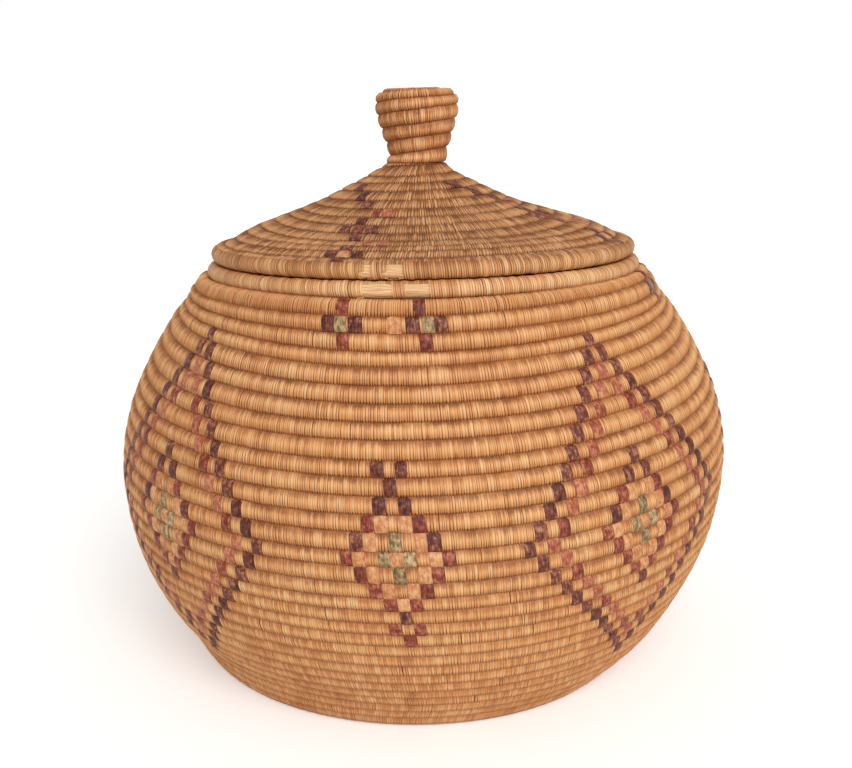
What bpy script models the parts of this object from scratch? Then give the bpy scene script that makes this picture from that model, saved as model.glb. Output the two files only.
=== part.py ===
"""A lidded basket, coiled from grass: belly, rim, cone lid with a seating flange, and knob.

Metres, +Z up. The origin is on the floor under the middle of the belly, and -Y is the front.
The wall, the base, the lid and the knob are each one coil that climbs in a spiral, so their
skins are ridged strips whose upper edge is the lower edge of the turn before. The rim of the
basket and the rim of the lid are closed rings: a bundle of grass inside a stitched wrap, and
in front the wrap has worn through, so that the bundle shows in its windows.
"""

import math

import bmesh
import bpy
from mathutils import Vector

MM = 0.001

# Basket
BELLY_RADIUS = 130.0 * MM
BODY_HEIGHT = 173.3 * MM
WALL_THICKNESS = 6.0 * MM
RIDGE_DEPTH = 1.1 * MM

# Outline of the belly from the floor to the rim: shares of the height and of the belly radius
WALL_PROFILE_SHARES = (
    (0.000, 0.735), (0.080, 0.815), (0.200, 0.911), (0.335, 0.977), (0.490, 1.000),
    (0.630, 0.968), (0.760, 0.890), (0.890, 0.781), (0.950, 0.734), (1.000, 0.669),
)
# Widths of the wall's rows from the rim down, uneven as they were sewn: shares of a common row
WALL_ROW_SHARES = (
    1.80, 0.85, 0.80, 0.68, 1.06, 1.09, 1.12, 1.07, 1.17, 1.02, 1.07, 1.12, 1.07, 1.14, 0.98, 1.02,
    1.09, 0.86, 0.96, 0.86, 0.96, 0.89, 0.96, 0.98, 0.94, 0.88, 0.84, 0.96, 0.94, 0.99, 1.24,
)
# The first coil is tucked under the rim ring: out from the middle of its tube, and up
WALL_SHOULDER = (
    (1.0 * MM, 0.0 * MM), (2.2 * MM, 0.6 * MM), (4.2 * MM, 1.2 * MM), (6.1 * MM, 0.7 * MM),
)
# How deep the wall's ridges are, from the rim down: shares of the wall and of the ridge depth
WALL_DEPTH_SHARES = ((0.00, 1.25), (0.45, 1.25), (0.60, 0.95), (0.78, 0.80), (0.90, 0.50))

# Base
BASE_THICKNESS = 6.0 * MM
BASE_PITCH = 7.0 * MM
BASE_RIDGE_DEPTH = 0.7 * MM
BASE_LIFT = 0.5 * MM
BASE_EYE_RADIUS = 4.0 * MM
# How far the base's edge stays clear of the wall's lining
BASE_CLEARANCE = 0.5 * MM

# Rim rings
RIM_COIL_RADIUS = 3.6 * MM
LID_RIM_COIL_RADIUS = 3.5 * MM
WRAP_THICKNESS = 0.8 * MM
# Worn windows in the wraps: middle, in degrees to the right of -Y, and width along the ring
RIM_WINDOWS = ((-4.0, 16.0 * MM), (7.0, 13.0 * MM))
LID_RIM_WINDOWS = ((-7.0, 6.0 * MM), (-0.5, 8.0 * MM))

# Lid
# How far the lid's rim stays inside the rim of the basket
LID_SETBACK = 1.9 * MM
LID_THICKNESS = 5.5 * MM
LID_RISE = 39.0 * MM
LID_RIDGE_DEPTH = 0.8 * MM
# Outline of the cone from the neck to its foot: shares of the rise and of the foot's radius
LID_PROFILE_SHARES = (
    (1.000, 0.153), (0.962, 0.168), (0.860, 0.250), (0.723, 0.384), (0.585, 0.528),
    (0.448, 0.725), (0.321, 0.893), (0.186, 1.000),
)
# Widths of the lid's rows from the neck down: shares of a common row
LID_ROW_SHARES = (1.13, 0.84, 1.02, 1.10, 0.95, 1.03, 0.99, 1.08, 1.11, 1.14, 0.95, 0.67)
FLANGE_DEPTH = 10.5 * MM
FLANGE_THICKNESS = 5.5 * MM
FLANGE_CLEARANCE = 4.6 * MM
FLANGE_COILS = 2
# Section of a flange coil: shares of its depth and of its half thickness, and its top and foot
FLANGE_BULGE_SHARES = ((0.22, 0.90), (0.50, 1.00), (0.78, 0.90))
FLANGE_EDGE_SHARE = 0.45

# Knob
KNOB_RADIUS = 16.9 * MM
KNOB_HEIGHT = 30.2 * MM
KNOB_RIDGE_DEPTH = 1.0 * MM
# Outline of the knob from its eye to the neck: shares of the height and of the knob radius
KNOB_PROFILE_SHARES = (
    (1.000, 0.180), (1.000, 0.640), (0.970, 0.860), (0.870, 1.000), (0.700, 1.000),
    (0.520, 0.925), (0.320, 0.815), (0.130, 0.710), (0.000, 0.735),
)
# Widths of the knob's rows from the eye down: shares of a common row
KNOB_ROW_SHARES = (1.53, 1.00, 0.86, 1.02, 0.98, 1.03, 0.76)

# Hand-set lean: the mouth sank a little and tips to the left and to the back, as it was sewn
LEAN_BACK = math.radians(6.1)
LEAN_SIDE = math.radians(1.15)
MOUTH_DROP = 4.3 * MM
# Height shares where the lean to the back sets in, in front and behind, and where it is full
LEAN_FRONT_START_SHARE = 0.84
LEAN_BEHIND_START_SHARE = 0.45
LEAN_FULL_SHARE = 0.955
# Share of the belly radius, behind the middle, from which on it sets in as it does behind
LEAN_BEHIND_SHARE = 0.5
LEAN_SIDE_OVER_SHARE = 0.23
BASE_SHIFT = 3.2 * MM
BASE_SHIFT_OVER_SHARE = 0.10
# The upper part of the lid stands to the left of its rim; shares of the lid's rise
LID_SWAY = 2.0 * MM
LID_SWAY_START_SHARE = 0.25
LID_SWAY_OVER_SHARE = 0.40
# In front the cone sags between two shares of its radius, most of all at a share nearer the rim
LID_SAG = 2.6 * MM
LID_SAG_START_SHARE = 0.32
LID_SAG_DEEPEST_SHARE = 0.80

# Pieces that are sewn together stand this far apart
GAP = 0.3 * MM
MERGE_DISTANCE = 0.01 * MM

TURN_STEPS = 28
KNOB_STEPS = 18
TAPER_STEPS = 4
RING_SIDES = 8
INNER_LEVELS = 10
CONE_LEVELS = 5
WINDOW_HEIGHT_SHARE = 0.8
CURVE_STEPS = 12
SHARP_ANGLE = math.radians(60.0)
# Places of the crest's corners across a coil: two for a full ridge, one for a shallow one
FULL_CREST_SHARES = (0.24, 0.76)
SHALLOW_CREST_SHARES = (0.5,)
EVEN_SHARES = ((0.0, 1.0), (1.0, 1.0))


def eased(share):
    """Return a share between 0 and 1 with level ends."""
    share = min(max(share, 0.0), 1.0)
    return share * share * (3.0 - 2.0 * share)


def upright(x, y, z):
    """Return a point of a true round form as it is."""
    return Vector((x, y, z))


def leaned(x, y, z):
    """Return the place of a point of the round wall in the basket as it was sewn."""
    behind = eased(y / (BELLY_RADIUS * LEAN_BEHIND_SHARE))
    start = LEAN_FRONT_START_SHARE + (LEAN_BEHIND_START_SHARE - LEAN_FRONT_START_SHARE) * behind
    back = eased((z / BODY_HEIGHT - start) / (LEAN_FULL_SHARE - start))
    side = eased(z / (BODY_HEIGHT * LEAN_SIDE_OVER_SHARE))
    shift = BASE_SHIFT * (1.0 - eased(z / (BODY_HEIGHT * BASE_SHIFT_OVER_SHARE)))
    rise = math.tan(LEAN_SIDE) * side * x - (math.tan(LEAN_BACK) * y + MOUTH_DROP) * back
    return Vector((x - shift, y, z + rise))


def lid_settled(x, y, z):
    """Return the place of a point of the round lid, which leans a little and sags in front."""
    sway = LID_SWAY * eased((z / LID_RISE - LID_SWAY_START_SHARE) / LID_SWAY_OVER_SHARE)
    radius = math.hypot(x, y)
    across = radius / CONE_RADIUS
    inward = (across - LID_SAG_START_SHARE) / (LID_SAG_DEEPEST_SHARE - LID_SAG_START_SHARE)
    outward = (1.0 - across) / (1.0 - LID_SAG_DEEPEST_SHARE)
    sag = LID_SAG * eased(-y / radius) * eased(min(inward, outward))
    return Vector((x - sway, y, z - sag))


def curve_through(points):
    """Return a smooth line of (radius, height) points through the given ones."""
    first = (2 * points[0][0] - points[1][0], 2 * points[0][1] - points[1][1])
    last = (2 * points[-1][0] - points[-2][0], 2 * points[-1][1] - points[-2][1])
    knots = [first, *points, last]
    line = []
    for a, b, c, d in zip(knots, knots[1:], knots[2:], knots[3:]):
        for step in range(CURVE_STEPS):
            t = step / CURVE_STEPS
            line.append(tuple(
                0.5 * (2 * b[k] + (c[k] - a[k]) * t
                       + (2 * a[k] - 5 * b[k] + 4 * c[k] - d[k]) * t * t
                       + (3 * b[k] - a[k] - 3 * c[k] + d[k]) * t ** 3)
                for k in (0, 1)))
    line.append(points[-1])
    return line


class Meridian:
    """The outline of a turned skin as (radius, height) points, read by length along it."""

    def __init__(self, points):
        self.points = points
        self.lengths = [0.0]
        for a, b in zip(points, points[1:]):
            self.lengths.append(self.lengths[-1] + math.dist(a, b))
        self.length = self.lengths[-1]

    def at(self, length):
        """Return the point at this length and the unit direction of the line there."""
        length = min(max(length, 0.0), self.length)
        k = 1
        while k < len(self.lengths) - 1 and self.lengths[k] < length:
            k += 1
        a, b = self.points[k - 1], self.points[k]
        span = self.lengths[k] - self.lengths[k - 1]
        t = (length - self.lengths[k - 1]) / span
        point = (a[0] + (b[0] - a[0]) * t, a[1] + (b[1] - a[1]) * t)
        return point, ((b[0] - a[0]) / span, (b[1] - a[1]) / span)

    def inset(self, length, depth):
        """Return the point at this length, moved square to the line to its right by depth."""
        (radius, height), (along_radius, along_height) = self.at(length)
        return radius + along_height * depth, height - along_radius * depth


def table(shares, share):
    """Return the value that a table of shares gives at a share."""
    for (a, at_a), (b, at_b) in zip(shares, shares[1:]):
        if share <= b:
            return at_a + (at_b - at_a) * (share - a) / (b - a)
    return shares[-1][1]


def row_edges(meridian, row_shares):
    """Return the lengths at which the rows of a coil meet, from the start to the end."""
    edges = [0.0]
    for share in row_shares:
        edges.append(edges[-1] + share)
    return [edge * meridian.length / edges[-1] for edge in edges]


def new_vertex(mesh, point, step, steps, placed):
    """Add a point of the turned form at this angular step; steps run from the back, leftwards."""
    angle = math.pi - math.tau * step / steps
    radius, height = point
    return mesh.verts.new(placed(radius * math.sin(angle), -radius * math.cos(angle), height))


def even_rows(meridian, pitch):
    """Return the shares of rows that are all alike and about as wide as the pitch."""
    return (1.0,) * round(meridian.length / pitch)


def spiral_skin(
        mesh, meridian, row_shares, depth, steps, placed=upright,
        depth_shares=EVEN_SHARES, crest_shares=FULL_CREST_SHARES):
    """Add the ridged skin of a coil and return its first and last ring, by angular step.

    The seam between two turns moves along the meridian by one row each turn. At both ends the
    coil tapers to nothing at the back within a few steps, so that the edges are level rings.
    """
    edges = row_edges(meridian, row_shares)
    rows = len(row_shares)
    pitch = meridian.length / rows
    taper = TAPER_STEPS / steps

    def seam(turn):
        if turn < 0.5:
            place = max(0.5 - (0.5 - turn) * 0.5 / taper, 0.0)
        elif turn > rows - 0.5:
            place = min(rows - 0.5 + (turn - rows + 0.5) * 0.5 / taper, float(rows))
        else:
            place = turn
        row = min(int(place), rows - 1)
        return edges[row] + (edges[row + 1] - edges[row]) * (place - row)

    def sunk(length, depth_share):
        on_edge = min(length, meridian.length - length) < MERGE_DISTANCE
        here_depth = depth * table(depth_shares, length / meridian.length)
        return meridian.inset(length, 0.0 if on_edge else here_depth * depth_share)

    count = rows * steps + 2 * TAPER_STEPS
    columns = []
    for i in range(count + steps + 1):
        turn = -0.5 - taper + i / steps
        step = (i - TAPER_STEPS) % steps
        here = seam(turn)
        column = [new_vertex(mesh, sunk(here, 1.0), step, steps, placed)]
        if i <= count:
            ahead = seam(turn + 1.0)
            full = min((ahead - here) / pitch, 1.0)
            for share in crest_shares:
                place = sunk(here + (ahead - here) * share, 1.0 - full)
                column.append(new_vertex(mesh, place, step, steps, placed))
        columns.append(column)
    for i in range(count):
        left = [*columns[i], columns[i + steps][0]]
        right = [*columns[i + 1], columns[i + 1 + steps][0]]
        for a, b, c, d in zip(left, left[1:], right[1:], right):
            mesh.faces.new((a, b, c, d))

    def ring(start):
        by_step = {(start + j - TAPER_STEPS) % steps: columns[start + j][0] for j in range(steps)}
        return [by_step[step] for step in range(steps)]

    return ring(0), ring(count)


def plain_skin(mesh, meridian, levels, steps, placed=upright):
    """Add a smooth turned skin and return its first and last ring, by angular step."""
    rings = []
    for level in range(levels + 1):
        point, _ = meridian.at(meridian.length * level / levels)
        rings.append([new_vertex(mesh, point, step, steps, placed) for step in range(steps)])
    for lower, upper in zip(rings, rings[1:]):
        bridge(mesh, lower, upper)
    return rings[0], rings[-1]


def bridge(mesh, ring_a, ring_b):
    """Join two rings that have the same steps."""
    for k, (a, b) in enumerate(zip(ring_a, ring_b)):
        after = (k + 1) % len(ring_a)
        mesh.faces.new((a, b, ring_b[after], ring_a[after]))


def finish(mesh, name, material, collection, parent=None):
    """Merge the doubled points of the seams, turn the faces out and make the object."""
    bmesh.ops.remove_doubles(mesh, verts=mesh.verts, dist=MERGE_DISTANCE)
    bmesh.ops.recalc_face_normals(mesh, faces=mesh.faces)
    data = bpy.data.meshes.new(name)
    mesh.to_mesh(data)
    mesh.free()
    data.shade_smooth()
    data.set_sharp_from_angle(angle=SHARP_ANGLE)
    data.materials.append(material)
    part = bpy.data.objects.new(name, data)
    collection.objects.link(part)
    part.parent = parent
    return part


def grass(name, colour, roughness):
    """Return a material for a dry plant surface."""
    material = bpy.data.materials.new(name)
    material.use_nodes = True
    shader = material.node_tree.nodes["Principled BSDF"]
    shader.inputs["Base Color"].default_value = (*colour, 1.0)
    shader.inputs["Roughness"].default_value = roughness
    shader.inputs["Metallic"].default_value = 0.0
    return material


def scaled(shares, height, radius):
    """Return (radius, height) points from pairs of a height share and a radius share."""
    return [(radius * radius_share, height * height_share) for height_share, radius_share in shares]


# The outline of the belly, and the rings and floors that follow from it
BELLY = Meridian(curve_through(scaled(WALL_PROFILE_SHARES, BODY_HEIGHT, BELLY_RADIUS)))


def radius_on(meridian, height):
    """Return the radius of an outline at a height."""
    for (radius_a, a), (radius_b, b) in zip(meridian.points, meridian.points[1:]):
        if min(a, b) <= height <= max(a, b) and a != b:
            return radius_a + (radius_b - radius_a) * (height - a) / (b - a)
    return meridian.points[-1][0]


def height_on(meridian, radius):
    """Return the height of an outline at a radius."""
    for (a, height_a), (b, height_b) in zip(meridian.points, meridian.points[1:]):
        if min(a, b) <= radius <= max(a, b) and a != b:
            return height_a + (height_b - height_a) * (radius - a) / (b - a)
    return meridian.points[-1][1]


RIM_CENTRE_RADIUS = radius_on(BELLY, BODY_HEIGHT - RIM_COIL_RADIUS) - RIM_COIL_RADIUS
WALL_TOP = BODY_HEIGHT - (2.0 * RIM_COIL_RADIUS + GAP) / math.cos(LEAN_BACK)
MOUTH_RADIUS = RIM_CENTRE_RADIUS - RIM_COIL_RADIUS
LID_RADIUS = RIM_CENTRE_RADIUS + RIM_COIL_RADIUS - LID_SETBACK
LID_RIM_CENTRE_RADIUS = LID_RADIUS - LID_RIM_COIL_RADIUS
CONE_RADIUS = LID_RIM_CENTRE_RADIUS - LID_RIM_COIL_RADIUS - GAP


def belly_line():
    """Return the points of the belly from the top of the wall down to the floor."""
    below = [point for point in BELLY.points if point[1] < WALL_TOP]
    return [(radius_on(BELLY, WALL_TOP), WALL_TOP), *reversed(below)]


def wall_outline():
    """Return the outer outline of the wall, whose first coil is tucked under the rim ring."""
    tucked = [(RIM_CENTRE_RADIUS + out, WALL_TOP + rise) for out, rise in WALL_SHOULDER]
    return Meridian([*tucked, *belly_line()])


def wall_lining():
    """Return the inner outline of the wall, a wall's thickness inside the belly's."""
    line = belly_line()
    points = []
    for (radius_a, height_a), (radius_b, height_b) in zip(line, line[1:]):
        slant = math.dist((radius_a, height_a), (radius_b, height_b)) / abs(height_a - height_b)
        points.append((radius_a - WALL_THICKNESS * slant, height_a))
    foot = line[-1][0] - WALL_THICKNESS * slant
    return Meridian([*points, (foot, 0.0)])


def build_wall(collection, material):
    """Make the wall: one coil from the rim to the floor, flat where it stands."""
    mesh = bmesh.new()
    outer = spiral_skin(
        mesh, wall_outline(), WALL_ROW_SHARES, RIDGE_DEPTH, TURN_STEPS, leaned,
        depth_shares=WALL_DEPTH_SHARES)
    inner = plain_skin(mesh, wall_lining(), INNER_LEVELS, TURN_STEPS, leaned)
    for outer_ring, inner_ring in zip(outer, inner):
        bridge(mesh, outer_ring, inner_ring)
    return finish(mesh, "wall_coil", material, collection)


def lining_radius(height):
    """Return the radius of the wall's lining at a height, along the levels it is made with."""
    lining = wall_lining()
    levels = [lining.at(lining.length * level / INNER_LEVELS)[0] for level in range(INNER_LEVELS + 1)]
    return radius_on(Meridian(levels), height)


def build_base(collection, material):
    """Make the base: a flat coil inside the foot of the wall, a little clear of the floor."""
    mesh = bmesh.new()
    top = BASE_LIFT + BASE_THICKNESS
    under_edge, over_edge = (lining_radius(z) - BASE_CLEARANCE for z in (BASE_LIFT, top))
    under = Meridian([(under_edge, BASE_LIFT), (BASE_EYE_RADIUS, BASE_LIFT)])
    over = Meridian([(over_edge, top), (BASE_EYE_RADIUS, top)])
    under_ring, under_eye = spiral_skin(
        mesh, under, even_rows(under, BASE_PITCH), BASE_RIDGE_DEPTH, TURN_STEPS, leaned,
        crest_shares=SHALLOW_CREST_SHARES)
    over_ring, over_eye = plain_skin(mesh, over, 1, TURN_STEPS, leaned)
    bridge(mesh, under_ring, over_ring)
    mesh.faces.new(under_eye)
    mesh.faces.new(over_eye)
    return finish(mesh, "base_coil", material, collection)


def cone_outline():
    """Return the outer outline of the lid's cone, from the neck down to its foot."""
    return Meridian(curve_through(scaled(LID_PROFILE_SHARES, LID_RISE, CONE_RADIUS)))


def cone_lining(outline):
    """Return the underside of the cone, ending square under its foot."""
    points = [outline.inset(length, LID_THICKNESS) for length in outline.lengths]
    foot_radius, foot_height = outline.points[-1]
    inside = [point for point in points if point[0] < foot_radius - LID_THICKNESS]
    return Meridian([*inside, (foot_radius, foot_height - LID_THICKNESS)])


def build_cone(collection, material, lid):
    """Make the cone of the lid: one coil from the neck to the rim ring, closed at the neck."""
    mesh = bmesh.new()
    outline = cone_outline()
    outer_neck, outer_foot = spiral_skin(
        mesh, outline, LID_ROW_SHARES, LID_RIDGE_DEPTH, TURN_STEPS, lid_settled)
    inner_neck, inner_foot = plain_skin(
        mesh, cone_lining(outline), CONE_LEVELS, TURN_STEPS, lid_settled)
    bridge(mesh, outer_foot, inner_foot)
    mesh.faces.new(outer_neck)
    mesh.faces.new(inner_neck)
    return finish(mesh, "lid_cone_coil", material, collection, lid)


def build_knob(collection, material, lid):
    """Make the knob: a solid coil from the eye at its top down to the neck of the cone."""
    mesh = bmesh.new()
    outline = curve_through(scaled(KNOB_PROFILE_SHARES, KNOB_HEIGHT, KNOB_RADIUS))
    foot = LID_RISE + GAP
    seated = Meridian([(radius, foot + min(height, KNOB_HEIGHT)) for radius, height in outline])
    eye, neck = spiral_skin(
        mesh, seated, KNOB_ROW_SHARES, KNOB_RIDGE_DEPTH, KNOB_STEPS, lid_settled)
    mesh.faces.new(eye)
    mesh.faces.new(neck)
    return finish(mesh, "knob_coil", material, collection, lid)


def flange_section(outer, top):
    """Return the round-cornered section of the flange's coils, as a closed run of points."""
    half = FLANGE_THICKNESS / 2.0
    coil = FLANGE_DEPTH / FLANGE_COILS
    section = []
    for side in (1.0, -1.0):
        run = []
        for row in range(FLANGE_COILS):
            for across, width_share in FLANGE_BULGE_SHARES:
                radius = outer - half + side * half * width_share
                run.append((radius, 0.0, top - coil * (row + across)))
        floor = top - FLANGE_DEPTH
        run = [(outer - half + side * half * FLANGE_EDGE_SHARE, 0.0, top), *run]
        run.append((outer - half + side * half * FLANGE_EDGE_SHARE, 0.0, floor))
        section.extend(run if side > 0.0 else reversed(run))
    return section


def build_flange(collection, material, lid):
    """Make the seating flange: two coils under the lid that drop inside the mouth."""
    outer = MOUTH_RADIUS - FLANGE_CLEARANCE
    top = height_on(cone_lining(cone_outline()), outer) - GAP
    section = flange_section(outer, top)
    edges = [(k, (k + 1) % len(section)) for k in range(len(section))]
    data = bpy.data.meshes.new("lid_flange")
    data.from_pydata(section, edges, [])
    data.materials.append(material)
    flange = bpy.data.objects.new("lid_flange", data)
    collection.objects.link(flange)
    flange.parent = lid
    screw = flange.modifiers.new("Turned", "SCREW")
    screw.steps = TURN_STEPS
    screw.render_steps = TURN_STEPS
    screw.use_merge_vertices = True
    screw.merge_threshold = MERGE_DISTANCE
    screw.use_smooth_shade = True
    return flange


def moved_to(collection, part, name, parent):
    """Name a part that an operator made, put it in this collection and under its parent."""
    part.name = name
    part.data.name = name
    for other in list(part.users_collection):
        other.objects.unlink(part)
    collection.objects.link(part)
    part.parent = parent
    return part


def add_ring(name, collection, material, parent, place, tube_radius):
    """Add a round ring from a torus; place is the radius and the height of its tube's middle."""
    bpy.ops.mesh.primitive_torus_add(
        major_segments=TURN_STEPS, minor_segments=RING_SIDES,
        major_radius=place[0], minor_radius=tube_radius, location=(0.0, 0.0, 0.0))
    ring = moved_to(collection, bpy.context.object, name, parent)
    for vertex in ring.data.vertices:
        vertex.co.z += place[1]
    ring.data.shade_smooth()
    ring.data.materials.append(material)
    return ring


def add_window(name, cutters, parent, place, tube_radius, window):
    """Add the box that cuts a worn window through the outer half of a wrap."""
    degrees, width = window
    angle = math.radians(degrees)
    out = place[0] + tube_radius
    bpy.ops.mesh.primitive_cube_add(size=1.0, location=(0.0, 0.0, 0.0))
    box = moved_to(cutters, bpy.context.object, name, parent)
    box.scale = (width, 2.0 * tube_radius, 2.0 * tube_radius * WINDOW_HEIGHT_SHARE)
    box.location = (out * math.sin(angle), -out * math.cos(angle), place[1])
    box.rotation_euler = (0.0, 0.0, angle)
    box.hide_render = True
    box.display_type = "WIRE"
    return box


def build_rim(prefix, collections, materials, parent, place, coil_radius, windows):
    """Make a rim ring: the bundle of grass, and the stitched wrap with its worn windows."""
    parts, cutters = collections
    bundle_material, wrap_material = materials
    bundle_radius = coil_radius - WRAP_THICKNESS - GAP
    add_ring(prefix + "_bundle", parts, bundle_material, parent, place, bundle_radius)
    wrap = add_ring(prefix + "_wrap", parts, wrap_material, parent, place, coil_radius)
    shell = wrap.modifiers.new("Wrap thickness", "SOLIDIFY")
    shell.thickness = WRAP_THICKNESS
    shell.offset = -1.0
    shell.use_even_offset = True
    for number, window in enumerate(windows, start=1):
        name = f"{prefix}_window_{number}"
        cut = wrap.modifiers.new(name, "BOOLEAN")
        cut.operation = "DIFFERENCE"
        cut.solver = "EXACT"
        cut.object = add_window(name, cutters, parent, place, coil_radius, window)


def tipped_empty(name, collection, height):
    """Add an empty in the middle of the mouth, tipped as the mouth is."""
    empty = bpy.data.objects.new(name, None)
    empty.location = (0.0, 0.0, height)
    empty.rotation_euler = (-LEAN_BACK, -LEAN_SIDE, 0.0)
    collection.objects.link(empty)
    return empty


def clear_scene():
    """Remove the objects that the scene opened with."""
    for old in list(bpy.data.objects):
        bpy.data.objects.remove(old, do_unlink=True)


def build():
    """Make the whole basket."""
    clear_scene()
    parts = bpy.data.collections.new("lidded_basket")
    cutters = bpy.data.collections.new("cutters")
    for collection in (parts, cutters):
        bpy.context.scene.collection.children.link(collection)
    collections = (parts, cutters)

    build_wall(parts, grass("Straw wall coil", (0.62, 0.38, 0.19), 0.62))
    build_base(parts, grass("Straw base coil", (0.50, 0.32, 0.17), 0.70))
    mouth = tipped_empty("mouth", parts, BODY_HEIGHT - MOUTH_DROP)
    bundle = grass("Bare rim bundle", (0.72, 0.52, 0.28), 0.75)
    wrap = grass("Straw rim wrap", (0.60, 0.36, 0.17), 0.60)
    place = (RIM_CENTRE_RADIUS, -RIM_COIL_RADIUS)
    build_rim("rim", collections, (bundle, wrap), mouth, place, RIM_COIL_RADIUS, RIM_WINDOWS)

    lid = tipped_empty("lid_lift", parts, BODY_HEIGHT - MOUTH_DROP)
    build_cone(parts, grass("Straw lid coil", (0.45, 0.28, 0.15), 0.68), lid)
    bundle = grass("Bare lid rim bundle", (0.70, 0.48, 0.26), 0.75)
    wrap = grass("Straw lid rim wrap", (0.55, 0.30, 0.15), 0.60)
    place = (LID_RIM_CENTRE_RADIUS, LID_RIM_COIL_RADIUS)
    build_rim(
        "lid_rim", collections, (bundle, wrap), lid, place, LID_RIM_COIL_RADIUS, LID_RIM_WINDOWS)
    build_flange(parts, grass("Straw flange coil", (0.58, 0.37, 0.19), 0.66), lid)
    build_knob(parts, grass("Straw knob coil", (0.55, 0.30, 0.15), 0.60), lid)


build()
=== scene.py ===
"""The looks of a coiled grass basket with a lid: belly, base, rims, lid, knob and dyed stitches.

Every coil is one bundle of grass, wound in a spiral and wrapped with about a thousand fine
stitches in each metre, so the coils are made here as long tubes with every stitch in the mesh.
Metres, +Z up, -Y the front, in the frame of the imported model.
"""

import logging
import math
from dataclasses import dataclass
from enum import Enum
from typing import Callable

import bpy
import numpy as np
from bpy.types import Material, Node, NodeSocket, NodeTree, Object
from mathutils import Euler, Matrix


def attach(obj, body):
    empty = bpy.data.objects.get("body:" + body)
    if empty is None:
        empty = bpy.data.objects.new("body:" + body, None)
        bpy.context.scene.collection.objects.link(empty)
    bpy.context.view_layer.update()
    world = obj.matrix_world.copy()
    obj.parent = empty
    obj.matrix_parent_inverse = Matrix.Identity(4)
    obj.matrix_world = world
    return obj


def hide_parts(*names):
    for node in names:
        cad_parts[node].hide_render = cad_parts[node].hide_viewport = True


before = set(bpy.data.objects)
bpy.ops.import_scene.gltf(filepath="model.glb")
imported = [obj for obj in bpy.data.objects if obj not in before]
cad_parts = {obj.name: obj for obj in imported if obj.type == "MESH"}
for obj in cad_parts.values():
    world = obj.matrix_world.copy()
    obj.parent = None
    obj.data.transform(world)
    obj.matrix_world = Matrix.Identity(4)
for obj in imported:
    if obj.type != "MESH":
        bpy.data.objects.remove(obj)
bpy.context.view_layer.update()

MM = 0.001
DEG = math.pi / 180.0
LOG = logging.getLogger("basket")
logging.basicConfig(level=logging.INFO, format="%(message)s")

Pairs = tuple[tuple[float, float], ...]
Measured = tuple[Object, np.ndarray, np.ndarray]
Placed = Callable[[np.ndarray, np.ndarray, np.ndarray], np.ndarray]
Value = float | tuple[float, ...] | NodeSocket | Node

WHITE = (1.0, 1.0, 1.0, 1.0)
# The waxy skin of dry stems
GRASS_IOR = 1.45
# How quickly the finer clouds of every pattern fade
CLOUD_ROUGHNESS = 0.6
# Sizes of the patches of wear, of the smears of the darker band and of the spots where dye has
# rubbed off
WEAR_PATCH = 26.3 * MM
UPPER_SMEAR = 10.53 * MM
DYE_SPOT = 2.083 * MM
SMOOTH = {"interpolation_type": "SMOOTHSTEP"}
# How far U counts up round a ring of bare stems
STEM_MAP_LENGTH = 500
# The hole left in the eye of a coil
EYE = 0.3 * MM
# How the stitches differ in width, as shares of the mean
STITCH_WIDTHS = (0.6, 1.4)


def linear(hex_colour: str) -> tuple[float, float, float, float]:
    """Turn an sRGB colour written in hex into linear red, green, blue and alpha.

    Args:
        hex_colour: six hex digits.

    Returns:
        The four linear values.
    """
    parts = [int(hex_colour[i:i + 2], 16) / 255.0 for i in (0, 2, 4)]
    red, green, blue = (
        part / 12.92 if part <= 0.04045 else ((part + 0.055) / 1.055) ** 2.4 for part in parts)
    return red, green, blue, 1.0


def add_node(tree: NodeTree, kind: str, *first: Value, named: dict[str | int, Value] | None = None,
             stops: tuple[tuple[float, str], ...] = (), **settings: str | bool) -> Node:
    """Add a node with its settings and links.

    Args:
        tree: the node tree of a material or the world.
        kind: the node's type, without the words that all shader nodes start with.
        first: what its first sockets take: values, sockets, or nodes whose first output is taken.
        named: the same for further sockets, by name or number.
        stops: the places and hex colours of a colour ramp.
        settings: the node's own properties.

    Returns:
        The new node.
    """
    node = tree.nodes.new("ShaderNode" + kind)
    for name, value in settings.items():
        setattr(node, name, value)
    for key, value in {**dict(enumerate(first)), **(named or {})}.items():
        source = value.outputs[0] if isinstance(value, Node) else value
        if isinstance(source, NodeSocket):
            tree.links.new(source, node.inputs[key])
        else:
            node.inputs[key].default_value = source
    for number, (place, colour) in enumerate(stops):
        ramp = node.color_ramp.elements
        stop = ramp[number] if number < len(ramp) else ramp.new(place)
        stop.position, stop.color = place, linear(colour)
    return node


def clouds(scale: float, detail: float = 2.0) -> dict[str, float]:
    """Return the sockets of a cloudy pattern with so many clouds to the unit."""
    return {"Scale": scale, "Detail": detail, "Roughness": CLOUD_ROUGHNESS}


class Finish:
    """The finish of a grass piece, which takes its pattern from the map "coil"."""

    name: str
    roughness: float
    bump: float
    bump_depth: float

    def paint(self, tree: NodeTree, uv: Node) -> tuple[Value, Value]:
        """Return the colour and the relief of the finish on its map."""
        raise NotImplementedError

    def material(self) -> Material:
        """Build the material.

        Returns:
            The material, dressed with its nodes.
        """
        made = empty_material(self.name)
        tree = made.node_tree
        colour, relief = self.paint(tree, add_node(tree, "UVMap", uv_map="coil"))
        bump = add_node(tree, "Bump", named={
            "Strength": self.bump, "Distance": self.bump_depth, "Height": relief})
        shader = add_node(tree, "BsdfPrincipled", named={
            "Base Color": colour, "Roughness": self.roughness, "IOR": GRASS_IOR, "Normal": bump})
        add_node(tree, "OutputMaterial", shader)
        return made


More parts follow.
